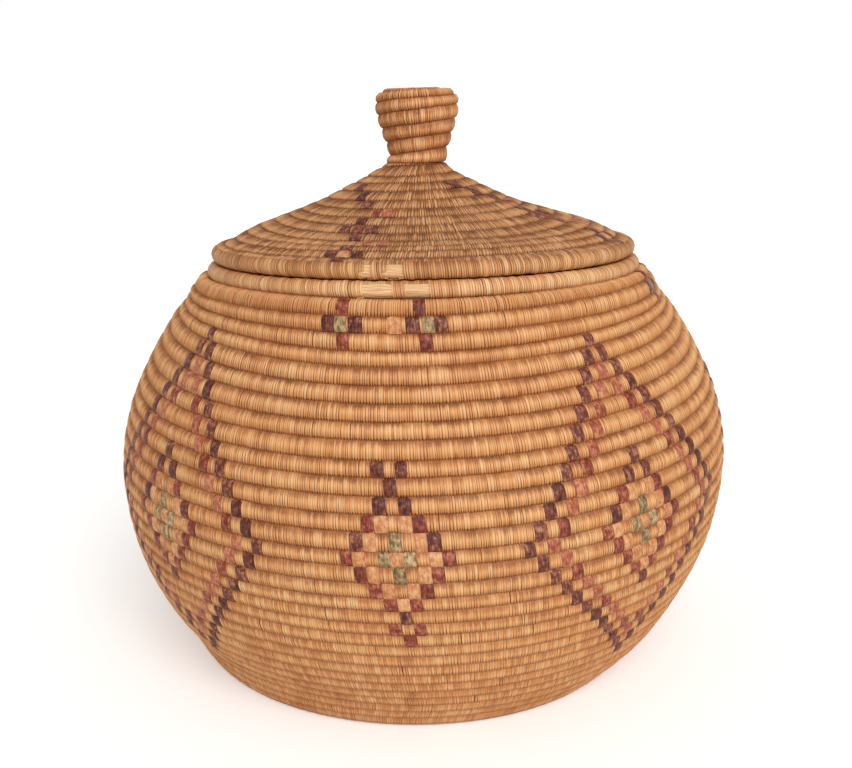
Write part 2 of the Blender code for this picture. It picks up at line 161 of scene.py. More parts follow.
def empty_material(name: str) -> Material:
    """Return a new material with an empty node tree.

    Args:
        name: what the real material is.

    Returns:
        The material.
    """
    material = bpy.data.materials.new(name)
    material.use_nodes = True
    material.node_tree.nodes.clear()
    return material


@dataclass(frozen=True)
class StitchedGrass(Finish):
    """Coils wrapped with split grass, sewn by hand, darker brown on the upper side of each coil.

    Dry split grass stem is straw coloured, fibrous along each stitch and only faintly glossy. U of
    its map counts the stitches, and V goes across the coil, from 0 at its upper edge to 1 where
    the stitches end in the coil below. All amounts are shares of a colour that is mixed in.
    """

    name: str
    # The straw from darkest to palest stems, the darker upper side, the painted shade in the gaps
    dark: str
    middle: str
    pale: str
    upper_brown: str
    gap: str
    # The upper side of each coil is darker down to a share of its width, less near the floor
    upper_brown_amount: float
    upper_brown_reach: float = 0.46
    upper_brown_low: float = 0.8
    # Painted shade: the lower side of each coil is darker and browner
    low: str = "B06A30"
    lower_shade_amount: float = 0.5
    gap_amount: float = 0.9
    gap_chances: tuple[float, float] = (0.15, 1.0)
    dot_amount: float = 0.95
    # Painted highlight on the crest: grows between the first two places across, fades by the last
    highlight_amount: float = 0.35
    highlight_places: tuple[float, float, float, float] = (0.30, 0.58, 0.62, 0.92)
    contrast: float = 1.0
    # Fibres in a stitch, and how often they change along it
    fibres: float = 4.5
    fibre_run: float = 8.0
    roughness: float = 0.62
    bump: float = 0.55
    bump_depth: float = 0.25 * MM

    def paint(self, tree: NodeTree, uv: Node) -> tuple[Value, Value]:
        """Colour the straw, then its painted highlight, lower shade, darker top and gap shade.

        Args:
            tree: the node tree.
            uv: the map.

        Returns:
            The colour and the relief.
        """
        along, across, _ = add_node(tree, "SeparateXYZ", uv).outputs
        number = add_node(tree, "Math", along, operation="FLOOR")
        stitch = add_node(tree, "TexWhiteNoise", named={"W": number}, noise_dimensions="1D")
        # The fibres of the stem run along each stitch, drawn at 0.2 mm so that they show
        spread = add_node(
            tree, "CombineXYZ", add_node(tree, "Math", along, self.fibres, operation="MULTIPLY"),
            add_node(tree, "Math", across, self.fibre_run, operation="MULTIPLY"), stitch)
        fibre = add_node(tree, "TexNoise", spread, named=clouds(1.0))
        place = add_node(tree, "TexCoord").outputs["Object"]
        ridge = add_node(tree, "Math", along, 0.5, operation="PINGPONG")
        # Painted shade: the lower side of each coil is mixed towards the low colour
        lower_shade = add_node(tree, "MapRange", across, 0.50, 1.0, 0.0, self.lower_shade_amount, **SMOOTH)
        colour = self.straw(tree, place, number, stitch, fibre)
        for share, other in (
                # A painted highlight on the crest, in the pale colour
                (self.painted_highlight(tree, across, stitch), self.pale), (lower_shade, self.low),
                (self.upper_darkening(tree, place, across, stitch, fibre), self.upper_brown),
                (self.gaps(tree, along, across, ridge), self.gap)):
            mixed = add_node(
                tree, "Mix", share, named={6: colour, 7: linear(other)}, data_type="RGBA")
            colour = mixed.outputs[2]
        return colour, add_node(tree, "Math", fibre, 0.5, ridge, operation="MULTIPLY_ADD")

    def straw(self, tree: NodeTree, place: NodeSocket, number: Node, stitch: Node,
              fibre: Node) -> Node:
        """Colour the straw by stitch, by run of stitches, by patch and by fibre.

        Args:
            tree: the node tree.
            place: the place on the object.
            number: the number of the stitch.
            stitch: a chance value of the stitch.
            fibre: the pattern of the fibres.

        Returns:
            The colour.
        """
        # Runs of about ten stitches come from one stem, so they share one tone
        drift = add_node(tree, "TexNoise", add_node(tree, "CombineXYZ", number), named=clouds(0.13))
        steady = add_node(tree, "Math", number, 0.11, operation="MULTIPLY")
        stems = add_node(tree, "Math", drift, 9.0, steady, operation="MULTIPLY_ADD")
        stem = add_node(tree, "Math", stems, operation="FLOOR")
        run = add_node(tree, "TexWhiteNoise", named={"W": stem}, noise_dimensions="1D")
        patch = add_node(tree, "TexNoise", place, named=clouds(1.0 / WEAR_PATCH, 3.0))
        tone = 0.5
        for source, weight in ((stitch, 0.26), (run, 0.16), (patch, 0.50), (fibre, 0.45)):
            centred = add_node(tree, "Math", source, 0.5, operation="SUBTRACT")
            tone = add_node(
                tree, "Math", centred, weight * self.contrast, tone, operation="MULTIPLY_ADD")
        return add_node(
            tree, "ValToRGB", tone, stops=((0.2, self.dark), (0.5, self.middle), (0.8, self.pale)))

    def painted_highlight(self, tree: NodeTree, across: NodeSocket, stitch: Node) -> Node:
        """Find how far the painted highlight on the crest of the coil makes it paler.

        Args:
            tree: the node tree.
            across: the place across the coil.
            stitch: a chance value of the stitch.

        Returns:
            The share of the pale colour that is painted on as a highlight.
        """
        start, full, hold, end = self.highlight_places
        grown = add_node(tree, "MapRange", across, start, full, 0.0, self.highlight_amount, **SMOOTH)
        faded = add_node(tree, "MapRange", across, hold, end, 1.0, 0.15, **SMOOTH)
        crest = add_node(tree, "Math", grown, faded, operation="MULTIPLY")
        uneven = add_node(tree, "Math", stitch, 0.8, 0.6, operation="MULTIPLY_ADD")
        return add_node(tree, "Math", crest, uneven, operation="MULTIPLY")

    def upper_darkening(self, tree: NodeTree, place: NodeSocket, across: NodeSocket, stitch: Node,
             fibre: Node) -> Node:
        """Find how much darker the upper side of each coil is.

        Args:
            tree: the node tree.
            place: the place on the object.
            across: the place across the coil.
            stitch: a chance value of the stitch.
            fibre: the pattern of the fibres.

        Returns:
            The share of the darker brown.
        """
        height = add_node(tree, "SeparateXYZ", place).outputs[2]
        inset = add_node(tree, "Math", across, 0.08, operation="SUBTRACT")
        ragged = add_node(tree, "Math", stitch, 0.16, inset, operation="MULTIPLY_ADD")
        smear = add_node(tree, "TexNoise", place, named=clouds(1.0 / UPPER_SMEAR))
        amount = 1.0
        for source, start, end, low, high in (
                (ragged, 0.10, self.upper_brown_reach, self.upper_brown_amount, 0.0),
                (height, 35.0 * MM, 95.0 * MM, self.upper_brown_low, 1.0),
                (smear, 0.30, 0.66, 0.55, 1.15), (fibre, 0.30, 0.65, 1.1, 0.75)):
            share = add_node(tree, "MapRange", source, start, end, low, high, **SMOOTH)
            amount = add_node(tree, "Math", amount, share, operation="MULTIPLY")
        amount.use_clamp = True
        return amount

    def gaps(self, tree: NodeTree, along: NodeSocket, across: NodeSocket, ridge: Node) -> Node:
        """Find how dark the gaps between the stitches are, most of all where they dive.

        Args:
            tree: the node tree.
            along: the count of stitches.
            across: the place across the coil.
            ridge: 0 in a gap and a half on a stitch.

        Returns:
            The share of darkness.
        """
        count = add_node(tree, "Math", along, operation="ROUND")
        other = add_node(tree, "Math", count, 0.37, operation="ADD")
        gap = add_node(tree, "TexWhiteNoise", named={"W": other}, noise_dimensions="1D")
        wide, lower, foot, slit, near = (
            add_node(tree, "MapRange", source, *spread, **SMOOTH) for source, spread in (
                (gap, (*self.gap_chances, 0.35, self.gap_amount)),
                (across, (0.20, 0.70, 0.55, 1.0)), (across, (0.85, 0.96, 0.0, self.dot_amount)),
                # One gap in eighty is a slit that lets the dark inside show
                (gap, (0.985, 0.990, 0.0, 1.2)), (ridge, (0.06, 0.28, 1.0, 0.0))))
        dark = add_node(tree, "Math", wide, lower, operation="MULTIPLY")
        dark = add_node(tree, "Math", foot, dark, operation="MAXIMUM")
        dark = add_node(tree, "Math", dark, slit, operation="MAXIMUM")
        return add_node(tree, "Math", dark, near, operation="MULTIPLY", use_clamp=True)


@dataclass(frozen=True)
class DyedStrip(Finish):
    """A flat dyed strip of stem, wrapped over the coil: its dye has rubbed off in spots.

    The strips are smoother than the stitches, a little glossy, and dark at their edges. U and V
    of the map go over each strip from 0 to 1, with a whole number for each strip in U.
    """

    name: str
    dark: str
    middle: str
    worn: str
    wear: float
    roughness: float = 0.48
    bump: float = 0.6
    bump_depth: float = 0.25 * MM

    def paint(self, tree: NodeTree, uv: Node) -> tuple[Value, Value]:
        """Colour the strip by spots, by fibres and from strip to strip, and darken its edges.

        Args:
            tree: the node tree.
            uv: the map.

        Returns:
            The colour and the relief.
        """
        along, across, _ = add_node(tree, "SeparateXYZ", uv).outputs
        number = add_node(tree, "Math", along, operation="FLOOR")
        strip = add_node(tree, "TexWhiteNoise", named={"W": number}, noise_dimensions="1D")
        place = add_node(tree, "TexCoord").outputs["Object"]
        spots = add_node(tree, "TexNoise", place, named=clouds(1.0 / DYE_SPOT, 3.0))
        # Fibres 0.6 mm apart run along the strip
        spread = add_node(
            tree, "CombineXYZ", add_node(tree, "Math", along, 8.0, operation="MULTIPLY"),
            add_node(tree, "Math", across, 2.4, operation="MULTIPLY"), strip)
        fibres = add_node(tree, "TexNoise", spread, named=clouds(1.0))
        rubbed = add_node(tree, "MapRange", spots, 0.36, 0.66, 0.0, 1.0, **SMOOTH)
        frayed = add_node(tree, "MapRange", fibres, 0.34, 0.66, 0.0, 1.0, **SMOOTH)
        tone = add_node(tree, "Math", rubbed, 0.40, operation="MULTIPLY")
        for source, weight in ((strip, 0.25), (frayed, 0.35)):
            tone = add_node(tree, "Math", source, weight, tone, operation="MULTIPLY_ADD")
        start, end = 0.12, 1.2 - 0.4 * self.wear
        colour = add_node(tree, "ValToRGB", tone, stops=(
            (start, self.dark), ((start + end) / 2.0, self.middle), (end, self.worn)))
        ridge = add_node(tree, "Math", along, 0.5, operation="PINGPONG")
        edge = add_node(tree, "MapRange", ridge, 0.01, 0.12, 0.8, 0.0, **SMOOTH)
        mixed = add_node(
            tree, "Mix", edge, named={6: colour, 7: linear(self.dark)}, data_type="RGBA")
        return mixed.outputs[2], tone


@dataclass(frozen=True)
class BareGrass(Finish):
    """The bundle of whole stems where its wrap has worn through: pale, dry, with long fibres."""

    name: str
    dark: str
    pale: str
    roughness: float = 0.7
    bump: float = 0.8
    # Half the width of a stem
    bump_depth: float = 0.5 * MM

    def paint(self, tree: NodeTree, uv: Node) -> tuple[Value, Value]:
        """Colour the stems in streaks along the ring.

        Args:
            tree: the node tree.
            uv: the map.

        Returns:
            The colour and the relief.
        """
        drawn = add_node(tree, "VectorMath", uv, (0.12, 26.0, 1.0), operation="MULTIPLY")
        stems = add_node(tree, "TexNoise", drawn, named=clouds(1.0, 3.0))
        colour = add_node(tree, "ValToRGB", stems, stops=((0.30, self.dark), (0.62, self.pale)))
        return colour, stems


WALL_GRASS = StitchedGrass(
    "Split grass stitches of the belly", "C27640", "E69E5E", "FAC88C", "8A522C", "702808", 0.88,
    upper_brown_low=0.5)
RIM_GRASS = StitchedGrass(
    "Split grass wrap of the rim", "C47E44", "E8A86C", "FCD29C", "8A5228", "6E260A", 0.5,
    gap_chances=(0.1, 0.9), contrast=1.4, fibre_run=20.0)
LID_GRASS = StitchedGrass(
    "Dusty split grass stitches of the lid", "86502A", "BA7842", "E8B07A", "6C4026", "501C04",
    0.75, low="C07C44", lower_shade_amount=0.3, upper_brown_reach=0.62, gap_chances=(0.0, 0.75),
    highlight_amount=0.55, highlight_places=(0.45, 0.80, 0.90, 1.0), contrast=1.6, roughness=0.68)
LID_RIM_GRASS = StitchedGrass(
    "Split grass wrap of the lid's rim", "A66430", "CE8A4E", "F4C084", "70442A", "5C2006", 0.85,
    upper_brown_reach=0.50, gap_chances=(0.0, 0.8), contrast=1.5, fibre_run=20.0)
KNOB_GRASS = StitchedGrass(
    "Split grass stitches of the knob", "AE6432", "E29656", "FCC48C", "763C1A", "501A04", 0.65,
    gap_chances=(0.1, 0.9), contrast=1.3)
INNER_GRASS = StitchedGrass(
    "Clean split grass stitches inside", "B98552", "D6A36C", "EBC592", "8C6238", "6A3C1C", 0.4)
RIM_STEMS = BareGrass("Bare stems of the rim", "CC8850", "FFDAA6")
LID_RIM_STEMS = BareGrass("Bare stems of the lid's rim", "CC8850", "FFD6A0")


class Dye(Enum):
    """The dyes of the pattern, each with the finish of its strips."""

    DARK = DyedStrip("Purple brown dyed strip", "3A1008", "7E3C26", "C48A6A", 0.5)
    MAROON = DyedStrip("Worn maroon dyed strip", "541A0C", "9A442C", "CC8A66", 0.55)
    RED = DyedStrip("Faded red dyed strip", "8A3A20", "BC6A48", "DCA078", 0.6)
    SALMON = DyedStrip("Faded salmon dyed strip", "B87046", "D8955F", "ECBA8A", 0.8, 0.6)
    OLIVE = DyedStrip("Olive dyed strip", "5A4A2E", "AA8A5C", "E0C294", 0.6, 0.55)


@dataclass
class Outline:
    """The outline that a coil is wound along, as points of radius and height."""

    radius: np.ndarray
    height: np.ndarray

    def __post_init__(self) -> None:
        """Measure the outline and the direction square to it."""
        steps = np.hypot(np.diff(self.radius), np.diff(self.height))
        self.lengths = np.concatenate([[0.0], np.cumsum(steps)])
        self.length = float(self.lengths[-1])
        self.out_radius = -np.gradient(self.height, self.lengths)
        self.out_height = np.gradient(self.radius, self.lengths)

    def at(self, length: np.ndarray) -> tuple[np.ndarray, ...]:
        """Read the outline.

        Args:
            length: lengths along the outline.

        Returns:
            The radius and height there, and the outward direction in radius and height.
        """
        columns = (self.radius, self.height, self.out_radius, self.out_height)
        radius, height, out_r, out_h = (np.interp(length, self.lengths, c) for c in columns)
        size = np.hypot(out_r, out_h)
        return radius, height, out_r / size, out_h / size


def smooth_line(points: Pairs, steps: int = 12) -> np.ndarray:
    """Draw a smooth line through points.

    Args:
        points: pairs of numbers.
        steps: how many steps lie between two points.

    Returns:
        An array of pairs.
    """
    knots = np.array([(2 * points[0][0] - points[1][0], 2 * points[0][1] - points[1][1]), *points,
                      (2 * points[-1][0] - points[-2][0], 2 * points[-1][1] - points[-2][1])])
    t = (np.arange(steps) / steps)[:, None]
    runs = [
        0.5 * (2 * b + (c - a) * t + (2 * a - 5 * b + 4 * c - d) * t ** 2
               + (3 * b - a - 3 * c + d) * t ** 3)
        for a, b, c, d in zip(knots, knots[1:], knots[2:], knots[3:])]
    return np.vstack([*runs, knots[-2:-1]])


def eased(share: np.ndarray) -> np.ndarray:
    """Return shares between 0 and 1 with level ends."""
    share = np.clip(share, 0.0, 1.0)
    return share * share * (3.0 - 2.0 * share)


@dataclass(frozen=True)
class Section:
    """The section of a stitched coil, in millimetres, from its upper edge round to the inside.

    across holds the places across the coil as shares of the row, and lift the heights over the
    outline. On and between the stitches, peak and gap are added to the lift, and peak_shift and
    gap_shift to the place. crest says how many stations after the first take the crest's scale.
    """

    across: tuple[float, ...] = (-0.05, 0.09, 0.33, 0.63, 0.90, 1.01, 0.98, 0.78, 0.22)
    lift: tuple[float, ...] = (-1.5, -0.62, -0.08, 0.0, -0.25, -0.72, -2.2, -5.6, -5.6)
    peak: tuple[float, ...] = (0.0, 0.05, 0.12, 0.12, 0.18, 0.22, 0.0, -0.08, -0.08)
    gap: tuple[float, ...] = (0.0, -0.04, -0.07, -0.10, -0.18, -0.32, 0.0, 0.10, 0.10)
    peak_shift: tuple[float, ...] = (0.0, 0.0, 0.0, 0.0, 0.01, 0.030, 0.0, 0.0, 0.0)
    gap_shift: tuple[float, ...] = (0.0, 0.0, 0.0, 0.0, -0.01, -0.025, 0.0, 0.0, 0.0)
    crest: int = 5


@dataclass
class Winding:
    """A bundle of grass wound in a spiral along an outline, wrapped with stitches.

    A turn is counted at the front, and grows to the left. The coil thins out to nothing at the
    back at both ends, so that its first and last edge are level rings.
    """

    name: str
    outline: Outline
    rows: tuple[float, ...]
    placed: Placed
    seed: int
    section: Section = Section()
    crest_scale: Pairs = ((0.0, 1.0), (1.0, 1.0))
    stitch_width: float = 0.95 * MM
    # How far a stitch leans over one row
    slant: float = 0.5 * MM
    # In how much of a turn the coil thins out
    taper: float = 0.14
    # How far the seams of the first rows are drawn up at the left side, and the right's share
    gather: tuple[float, ...] = (0.0,)
    gather_right: float = 0.35
    # How far the rows climb to one side, as a slope
    sway: float = 0.0
    # How uneven the seams and the thickness of the bundle are, with so many places a turn
    wobble: float = 0.22 * MM
    lumps: float = 0.12 * MM
    knots_per_turn: int = 9
    steps_per_turn: int = 240
    # How strongly the stitches show in the shape, from the weakest to the strongest
    strengths: tuple[float, float] = (0.45, 1.35)

    def __post_init__(self) -> None:
        """Lay out the rows and the uneven hand work."""
        edges = np.concatenate([[0.0], np.cumsum(self.rows)])
        self.edges = edges * self.outline.length / edges[-1]
        self.count = len(self.rows)
        self.pitch = self.outline.length / self.count
        rng = np.random.default_rng(self.seed)
        knots = (self.count + 3) * self.knots_per_turn
        self.knots = np.linspace(-1.5, self.count + 1.5, knots)
        self.wobbles = rng.normal(0.0, 0.5, knots)
        self.lump_sizes = rng.normal(0.0, 0.5, knots)

    def seam(self, turn: np.ndarray) -> np.ndarray:
        """Find the seam between two turns of the coil.

        Args:
            turn: the turns at which it is wanted.

        Returns:
            Its lengths along the outline.
        """
        start = 0.5 - (0.5 - turn) * 0.5 / self.taper
        end = self.count - 0.5 + (turn - self.count + 0.5) * 0.5 / self.taper
        place = np.where(turn < 0.5, start, np.where(turn > self.count - 0.5, end, turn))
        place = np.clip(place, 0.0, self.count)
        length = np.interp(place, np.arange(self.count + 1), self.edges)
        side = -np.sin(math.tau * turn)
        drawn = np.interp(place, np.arange(len(self.gather)), self.gather) * side ** 2
        length = length - drawn * np.where(side < 0.0, 1.0, self.gather_right)
        held = np.minimum(place, self.count - place).clip(0.0, 1.0)
        return length + self.wobble * held * np.interp(turn, self.knots, self.wobbles)

    def surface(self, turn: np.ndarray, across: np.ndarray, lift: np.ndarray) -> np.ndarray:
        """Find points of the coil.

        Args:
            turn: the turns at which the points lie.
            across: their places across the coil, 0 at the upper edge and 1 at the lower one.
            lift: their heights over the outline.

        Returns:
            An array of points in the frame of the model.
        """
        top, foot = self.seam(turn), self.seam(turn + 1.0)
        full = np.clip(2.0 * (foot - top) / self.pitch, 0.0, 1.0)
        length = top + (foot - top) * across
        round_it = self.outline.at(length)[0].clip(2.0 * MM)
        angle = -math.tau * turn + self.slant * (across - 0.5) / round_it
        if self.sway:
            # The sway fades out over the first and the last row and a half
            ends = np.minimum(length, self.outline.length - length) / (1.4 * self.pitch)
            length = length - self.sway * round_it * np.sin(angle) * eased(ends)
        radius, height, out_r, out_h = self.outline.at(length)
        swell = self.lumps * np.interp(turn, self.knots, self.lump_sizes)
        rise = (lift + swell) * full
        radius = radius + out_r * rise
        height = height + out_h * rise
        return self.placed(radius * np.sin(angle), -radius * np.cos(angle), height)

    def profile_lift(self, turn: np.ndarray, across: np.ndarray) -> np.ndarray:
        """Find the mean height of the outer face over the outline.

        Args:
            turn: the turns at which it is wanted.
            across: the places across the coil.

        Returns:
            The heights.
        """
        form, stations = self.section, self.section.crest + 1
        lift = np.interp(across, form.across[:stations], form.lift[:stations]) * MM
        return lift * self.scale_at(turn)

    def scale_at(self, turn: np.ndarray) -> np.ndarray:
        """Return the scale of the crest at these turns."""
        places, scales = zip(*self.crest_scale)
        return np.interp((turn + 0.5) / self.count, places, scales)

    def stitches(self) -> tuple[np.ndarray, np.ndarray]:
        """Lay the stitches along the coil.

        Returns:
            The turn of each column of points, two to a stitch, and its count of stitches.
        """
        fine = np.linspace(
            -0.5 - self.taper, self.count - 0.5 + self.taper, self.count * self.steps_per_turn)
        middle = (self.seam(fine) + self.seam(fine + 1.0)) / 2.0
        radius = self.outline.at(middle)[0]
        steps = (radius[1:] + radius[:-1]) / 2.0 * np.diff(fine) * math.tau
        travelled = np.concatenate([[0.0], np.cumsum(steps)])
        number = int(travelled[-1] / self.stitch_width)
        rng = np.random.default_rng(self.seed + 1)
        widths = rng.uniform(*STITCH_WIDTHS, number)
        starts = np.concatenate([[0.0], np.cumsum(widths)])
        starts *= travelled[-1] / starts[-1]
        halves = np.sort(np.concatenate([starts, (starts[1:] + starts[:-1]) / 2.0]))
        return np.interp(halves, travelled, fine), np.arange(len(halves)) / 2.0

    def wind(self, bands: int, material: Material) -> list[Object]:
        """Make the coil as closed tubes, each band a run of the same coil.

        Args:
            bands: into how many pieces the coil is parted.
            material: the finish of the pieces.

        Returns:
            The pieces, from the upper end of the coil to the lower.
        """
        turns, counts = self.stitches()
        rng = np.random.default_rng(self.seed + 2)
        each = rng.uniform(*self.strengths, len(turns) // 2 + 1)
        strength = np.repeat(each, 2)[:len(turns)]
        cuts = np.linspace(0, (len(turns) - 1) // 2, bands + 1).astype(int) * 2
        pieces = []
        for number, (first, last) in enumerate(zip(cuts, cuts[1:]), start=1):
            name = self.name if bands == 1 else f"{self.name}_{number}"
            run = slice(first, last + 1)
            pieces.append(self.tube(name, turns[run], counts[run], strength[run], material))
        return pieces

    def tube(self, name: str, turns: np.ndarray, counts: np.ndarray, strength: np.ndarray,
             material: Material) -> Object:
        """Make one run of the coil from a grid that is rolled up and wound.

        Args:
            name: the name of the piece.
            turns: the turn of each column.
            counts: the count of stitches at each column, whole numbers in the gaps.
            strength: how strongly each column shows its stitch.
            material: the finish.

        Returns:
            The piece.
        """
        form = self.section
        stations = len(form.across)
        piece = new_grid(name, len(turns) - 1, stations)
        column, station = grid_places(piece, len(turns) - 1, stations)
        wrapped = station % stations
        across, lift, peak, gap, peak_shift, gap_shift = (
            np.array(values)[wrapped] for values in (
                form.across, form.lift, form.peak, form.gap, form.peak_shift, form.gap_shift))
        # The points stand by turns in a gap, at a whole count, and on a stitch
        on_stitch = (counts[column] % 1.0) > 0.25
        across = across + strength[column] * np.where(on_stitch, peak_shift, gap_shift)
        crested = (wrapped >= 1) & (wrapped <= form.crest)
        scale = np.where(crested, self.scale_at(turns[column]), 1.0)
        lift = lift * scale + strength[column] * np.where(on_stitch, peak, gap)
        set_points(piece, self.surface(turns[column], across, lift * MM))
        # The inside takes the part of the map that lies past the stitches' foot
        inner = np.linspace(1.1, 2.0, stations - form.crest)
        shown = np.concatenate([form.across[:form.crest + 1], inner])
        map_coil(piece, counts[column], shown[station])
        close_tube(piece, material)
        return piece


def deselect_all() -> None:
    """Leave nothing selected."""
    if bpy.context.mode != "OBJECT":
        bpy.ops.object.mode_set(mode="OBJECT")
    bpy.ops.object.select_all(action="DESELECT")


def choose(piece: Object) -> None:
    """Select one piece and make it the active one.

    Args:
        piece: the piece.
    """
    deselect_all()
    piece.select_set(True)
    bpy.context.view_layer.objects.active = piece


def new_grid(name: str, columns: int, rows: int) -> Object:
    """Add a flat grid of one unit that other code rolls up.

    Args:
        name: the name of the piece.
        columns: how many faces it has along X.
        rows: how many faces it has along Y.

    Returns:
        The grid.
    """
    deselect_all()
    bpy.ops.mesh.primitive_grid_add(x_subdivisions=columns, y_subdivisions=rows, size=1.0)
    return named_piece(name)


def named_piece(name: str) -> Object:
    """Name the active piece and its mesh.

    Args:
        name: the name.

    Returns:
        The piece.
    """
    piece = bpy.context.object
    piece.name = name
    piece.data.name = name
    return piece


def read_points(piece: Object) -> np.ndarray:
    """Read the points of a mesh.

    Args:
        piece: the piece that has the mesh.

    Returns:
        An array of points.
    """
    points = np.empty(len(piece.data.vertices) * 3)
    piece.data.vertices.foreach_get("co", points)
    return points.reshape(-1, 3)


def set_points(piece: Object, points: np.ndarray) -> None:
    """Move the points of a piece's mesh."""
    piece.data.vertices.foreach_set("co", np.ascontiguousarray(points, dtype=np.float32).ravel())
    piece.data.update()


def grid_places(piece: Object, columns: int, rows: int) -> tuple[np.ndarray, np.ndarray]:
    """Find where the points of a flat grid lie in it.

    Args:
        piece: the grid.
        columns: its number of columns.
        rows: its number of rows.

    Returns:
        The column and the row number of each point.
    """
    points = read_points(piece)
    return (np.rint((points[:, 0] + 0.5) * columns).astype(int),
            np.rint((points[:, 1] + 0.5) * rows).astype(int))


def map_coil(piece: Object, along: np.ndarray, across: np.ndarray) -> None:
    """Write the map "coil" of a piece.

    Args:
        piece: the piece.
        along: U for each point.
        across: V for each point.
    """
    mesh = piece.data
    while mesh.uv_layers:
        mesh.uv_layers.remove(mesh.uv_layers[0])
    layer = mesh.uv_layers.new(name="coil")
    corners = corner_points(piece)
    values = np.stack([along[corners], across[corners]], axis=1)
    layer.data.foreach_set("uv", values.astype(np.float32).ravel())


def corner_points(piece: Object) -> np.ndarray:
    """Read which point each corner of a mesh's faces stands on.

    Args:
        piece: the piece that has the mesh.

    Returns:
        The numbers of the points.
    """
    corners = np.empty(len(piece.data.loops), dtype=np.int32)
    piece.data.loops.foreach_get("vertex_index", corners)
    return corners


def face_out(piece: Object) -> None:
    """Turn the faces of a piece outwards.

    Args:
        piece: the piece.
    """
    choose(piece)
    bpy.ops.object.mode_set(mode="EDIT")
    bpy.ops.mesh.select_all(action="SELECT")
    bpy.ops.mesh.normals_make_consistent(inside=False)
    bpy.ops.object.mode_set(mode="OBJECT")


def give_thickness(piece: Object, thickness: float) -> None:
    """Make a sheet solid, inwards.

    Args:
        piece: the sheet, with its faces outwards.
        thickness: how thick it gets.
    """
    choose(piece)
    shell = piece.modifiers.new("Thickness", "SOLIDIFY")
    shell.thickness = thickness
    shell.offset = -1.0
    bpy.ops.object.modifier_apply(modifier=shell.name)


def dress(piece: Object, material: Material, angle: float = 80.0 * DEG) -> None:
    """Smooth a piece and give it its finish.

    Args:
        piece: the piece, which is the active one.
        material: its finish.
        angle: the least angle that stays a sharp edge.
    """
    bpy.ops.object.shade_smooth_by_angle(angle=angle)
    piece.data.materials.clear()
    piece.data.materials.append(material)


def close_tube(piece: Object, material: Material) -> None:
    """Close the seams and ends of a tube, turn its faces out, smooth it and dress it.

    Args:
        piece: the tube.
        material: its finish.
    """
    choose(piece)
    bpy.ops.object.mode_set(mode="EDIT")
    bpy.ops.mesh.select_all(action="SELECT")
    bpy.ops.mesh.remove_doubles(threshold=0.002 * MM)
    bpy.ops.mesh.select_all(action="DESELECT")
    bpy.ops.mesh.select_non_manifold(
        extend=False, use_wire=False, use_boundary=True, use_multi_face=False,
        use_non_contiguous=False, use_verts=False)
    bpy.ops.mesh.fill_holes(sides=0)
    bpy.ops.object.mode_set(mode="OBJECT")
    face_out(piece)
    dress(piece, material)


def join_pieces(name: str, parts: list[Object]) -> Object:
    """Join pieces into one.

    Args:
        name: the name of the whole.
        parts: the pieces.

    Returns:
        The whole.
    """
    deselect_all()
    for part in parts:
        part.select_set(True)
    bpy.context.view_layer.objects.active = parts[0]
    bpy.ops.object.join()
    return named_piece(name)


def ride_on(piece: Object, body: str, nodes: tuple[str, ...]) -> None:
    """Put a finished piece on its body, in the place of its CAD nodes, and report it.

    Args:
        piece: the finished piece.
        body: the body that it rides on.
        nodes: the CAD nodes that it stands for, or none.
    """
    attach(piece, body)
    if nodes:
        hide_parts(*nodes)
    LOG.info("%s: %d points, %d faces", piece.name, len(piece.data.vertices),
             len(piece.data.polygons))


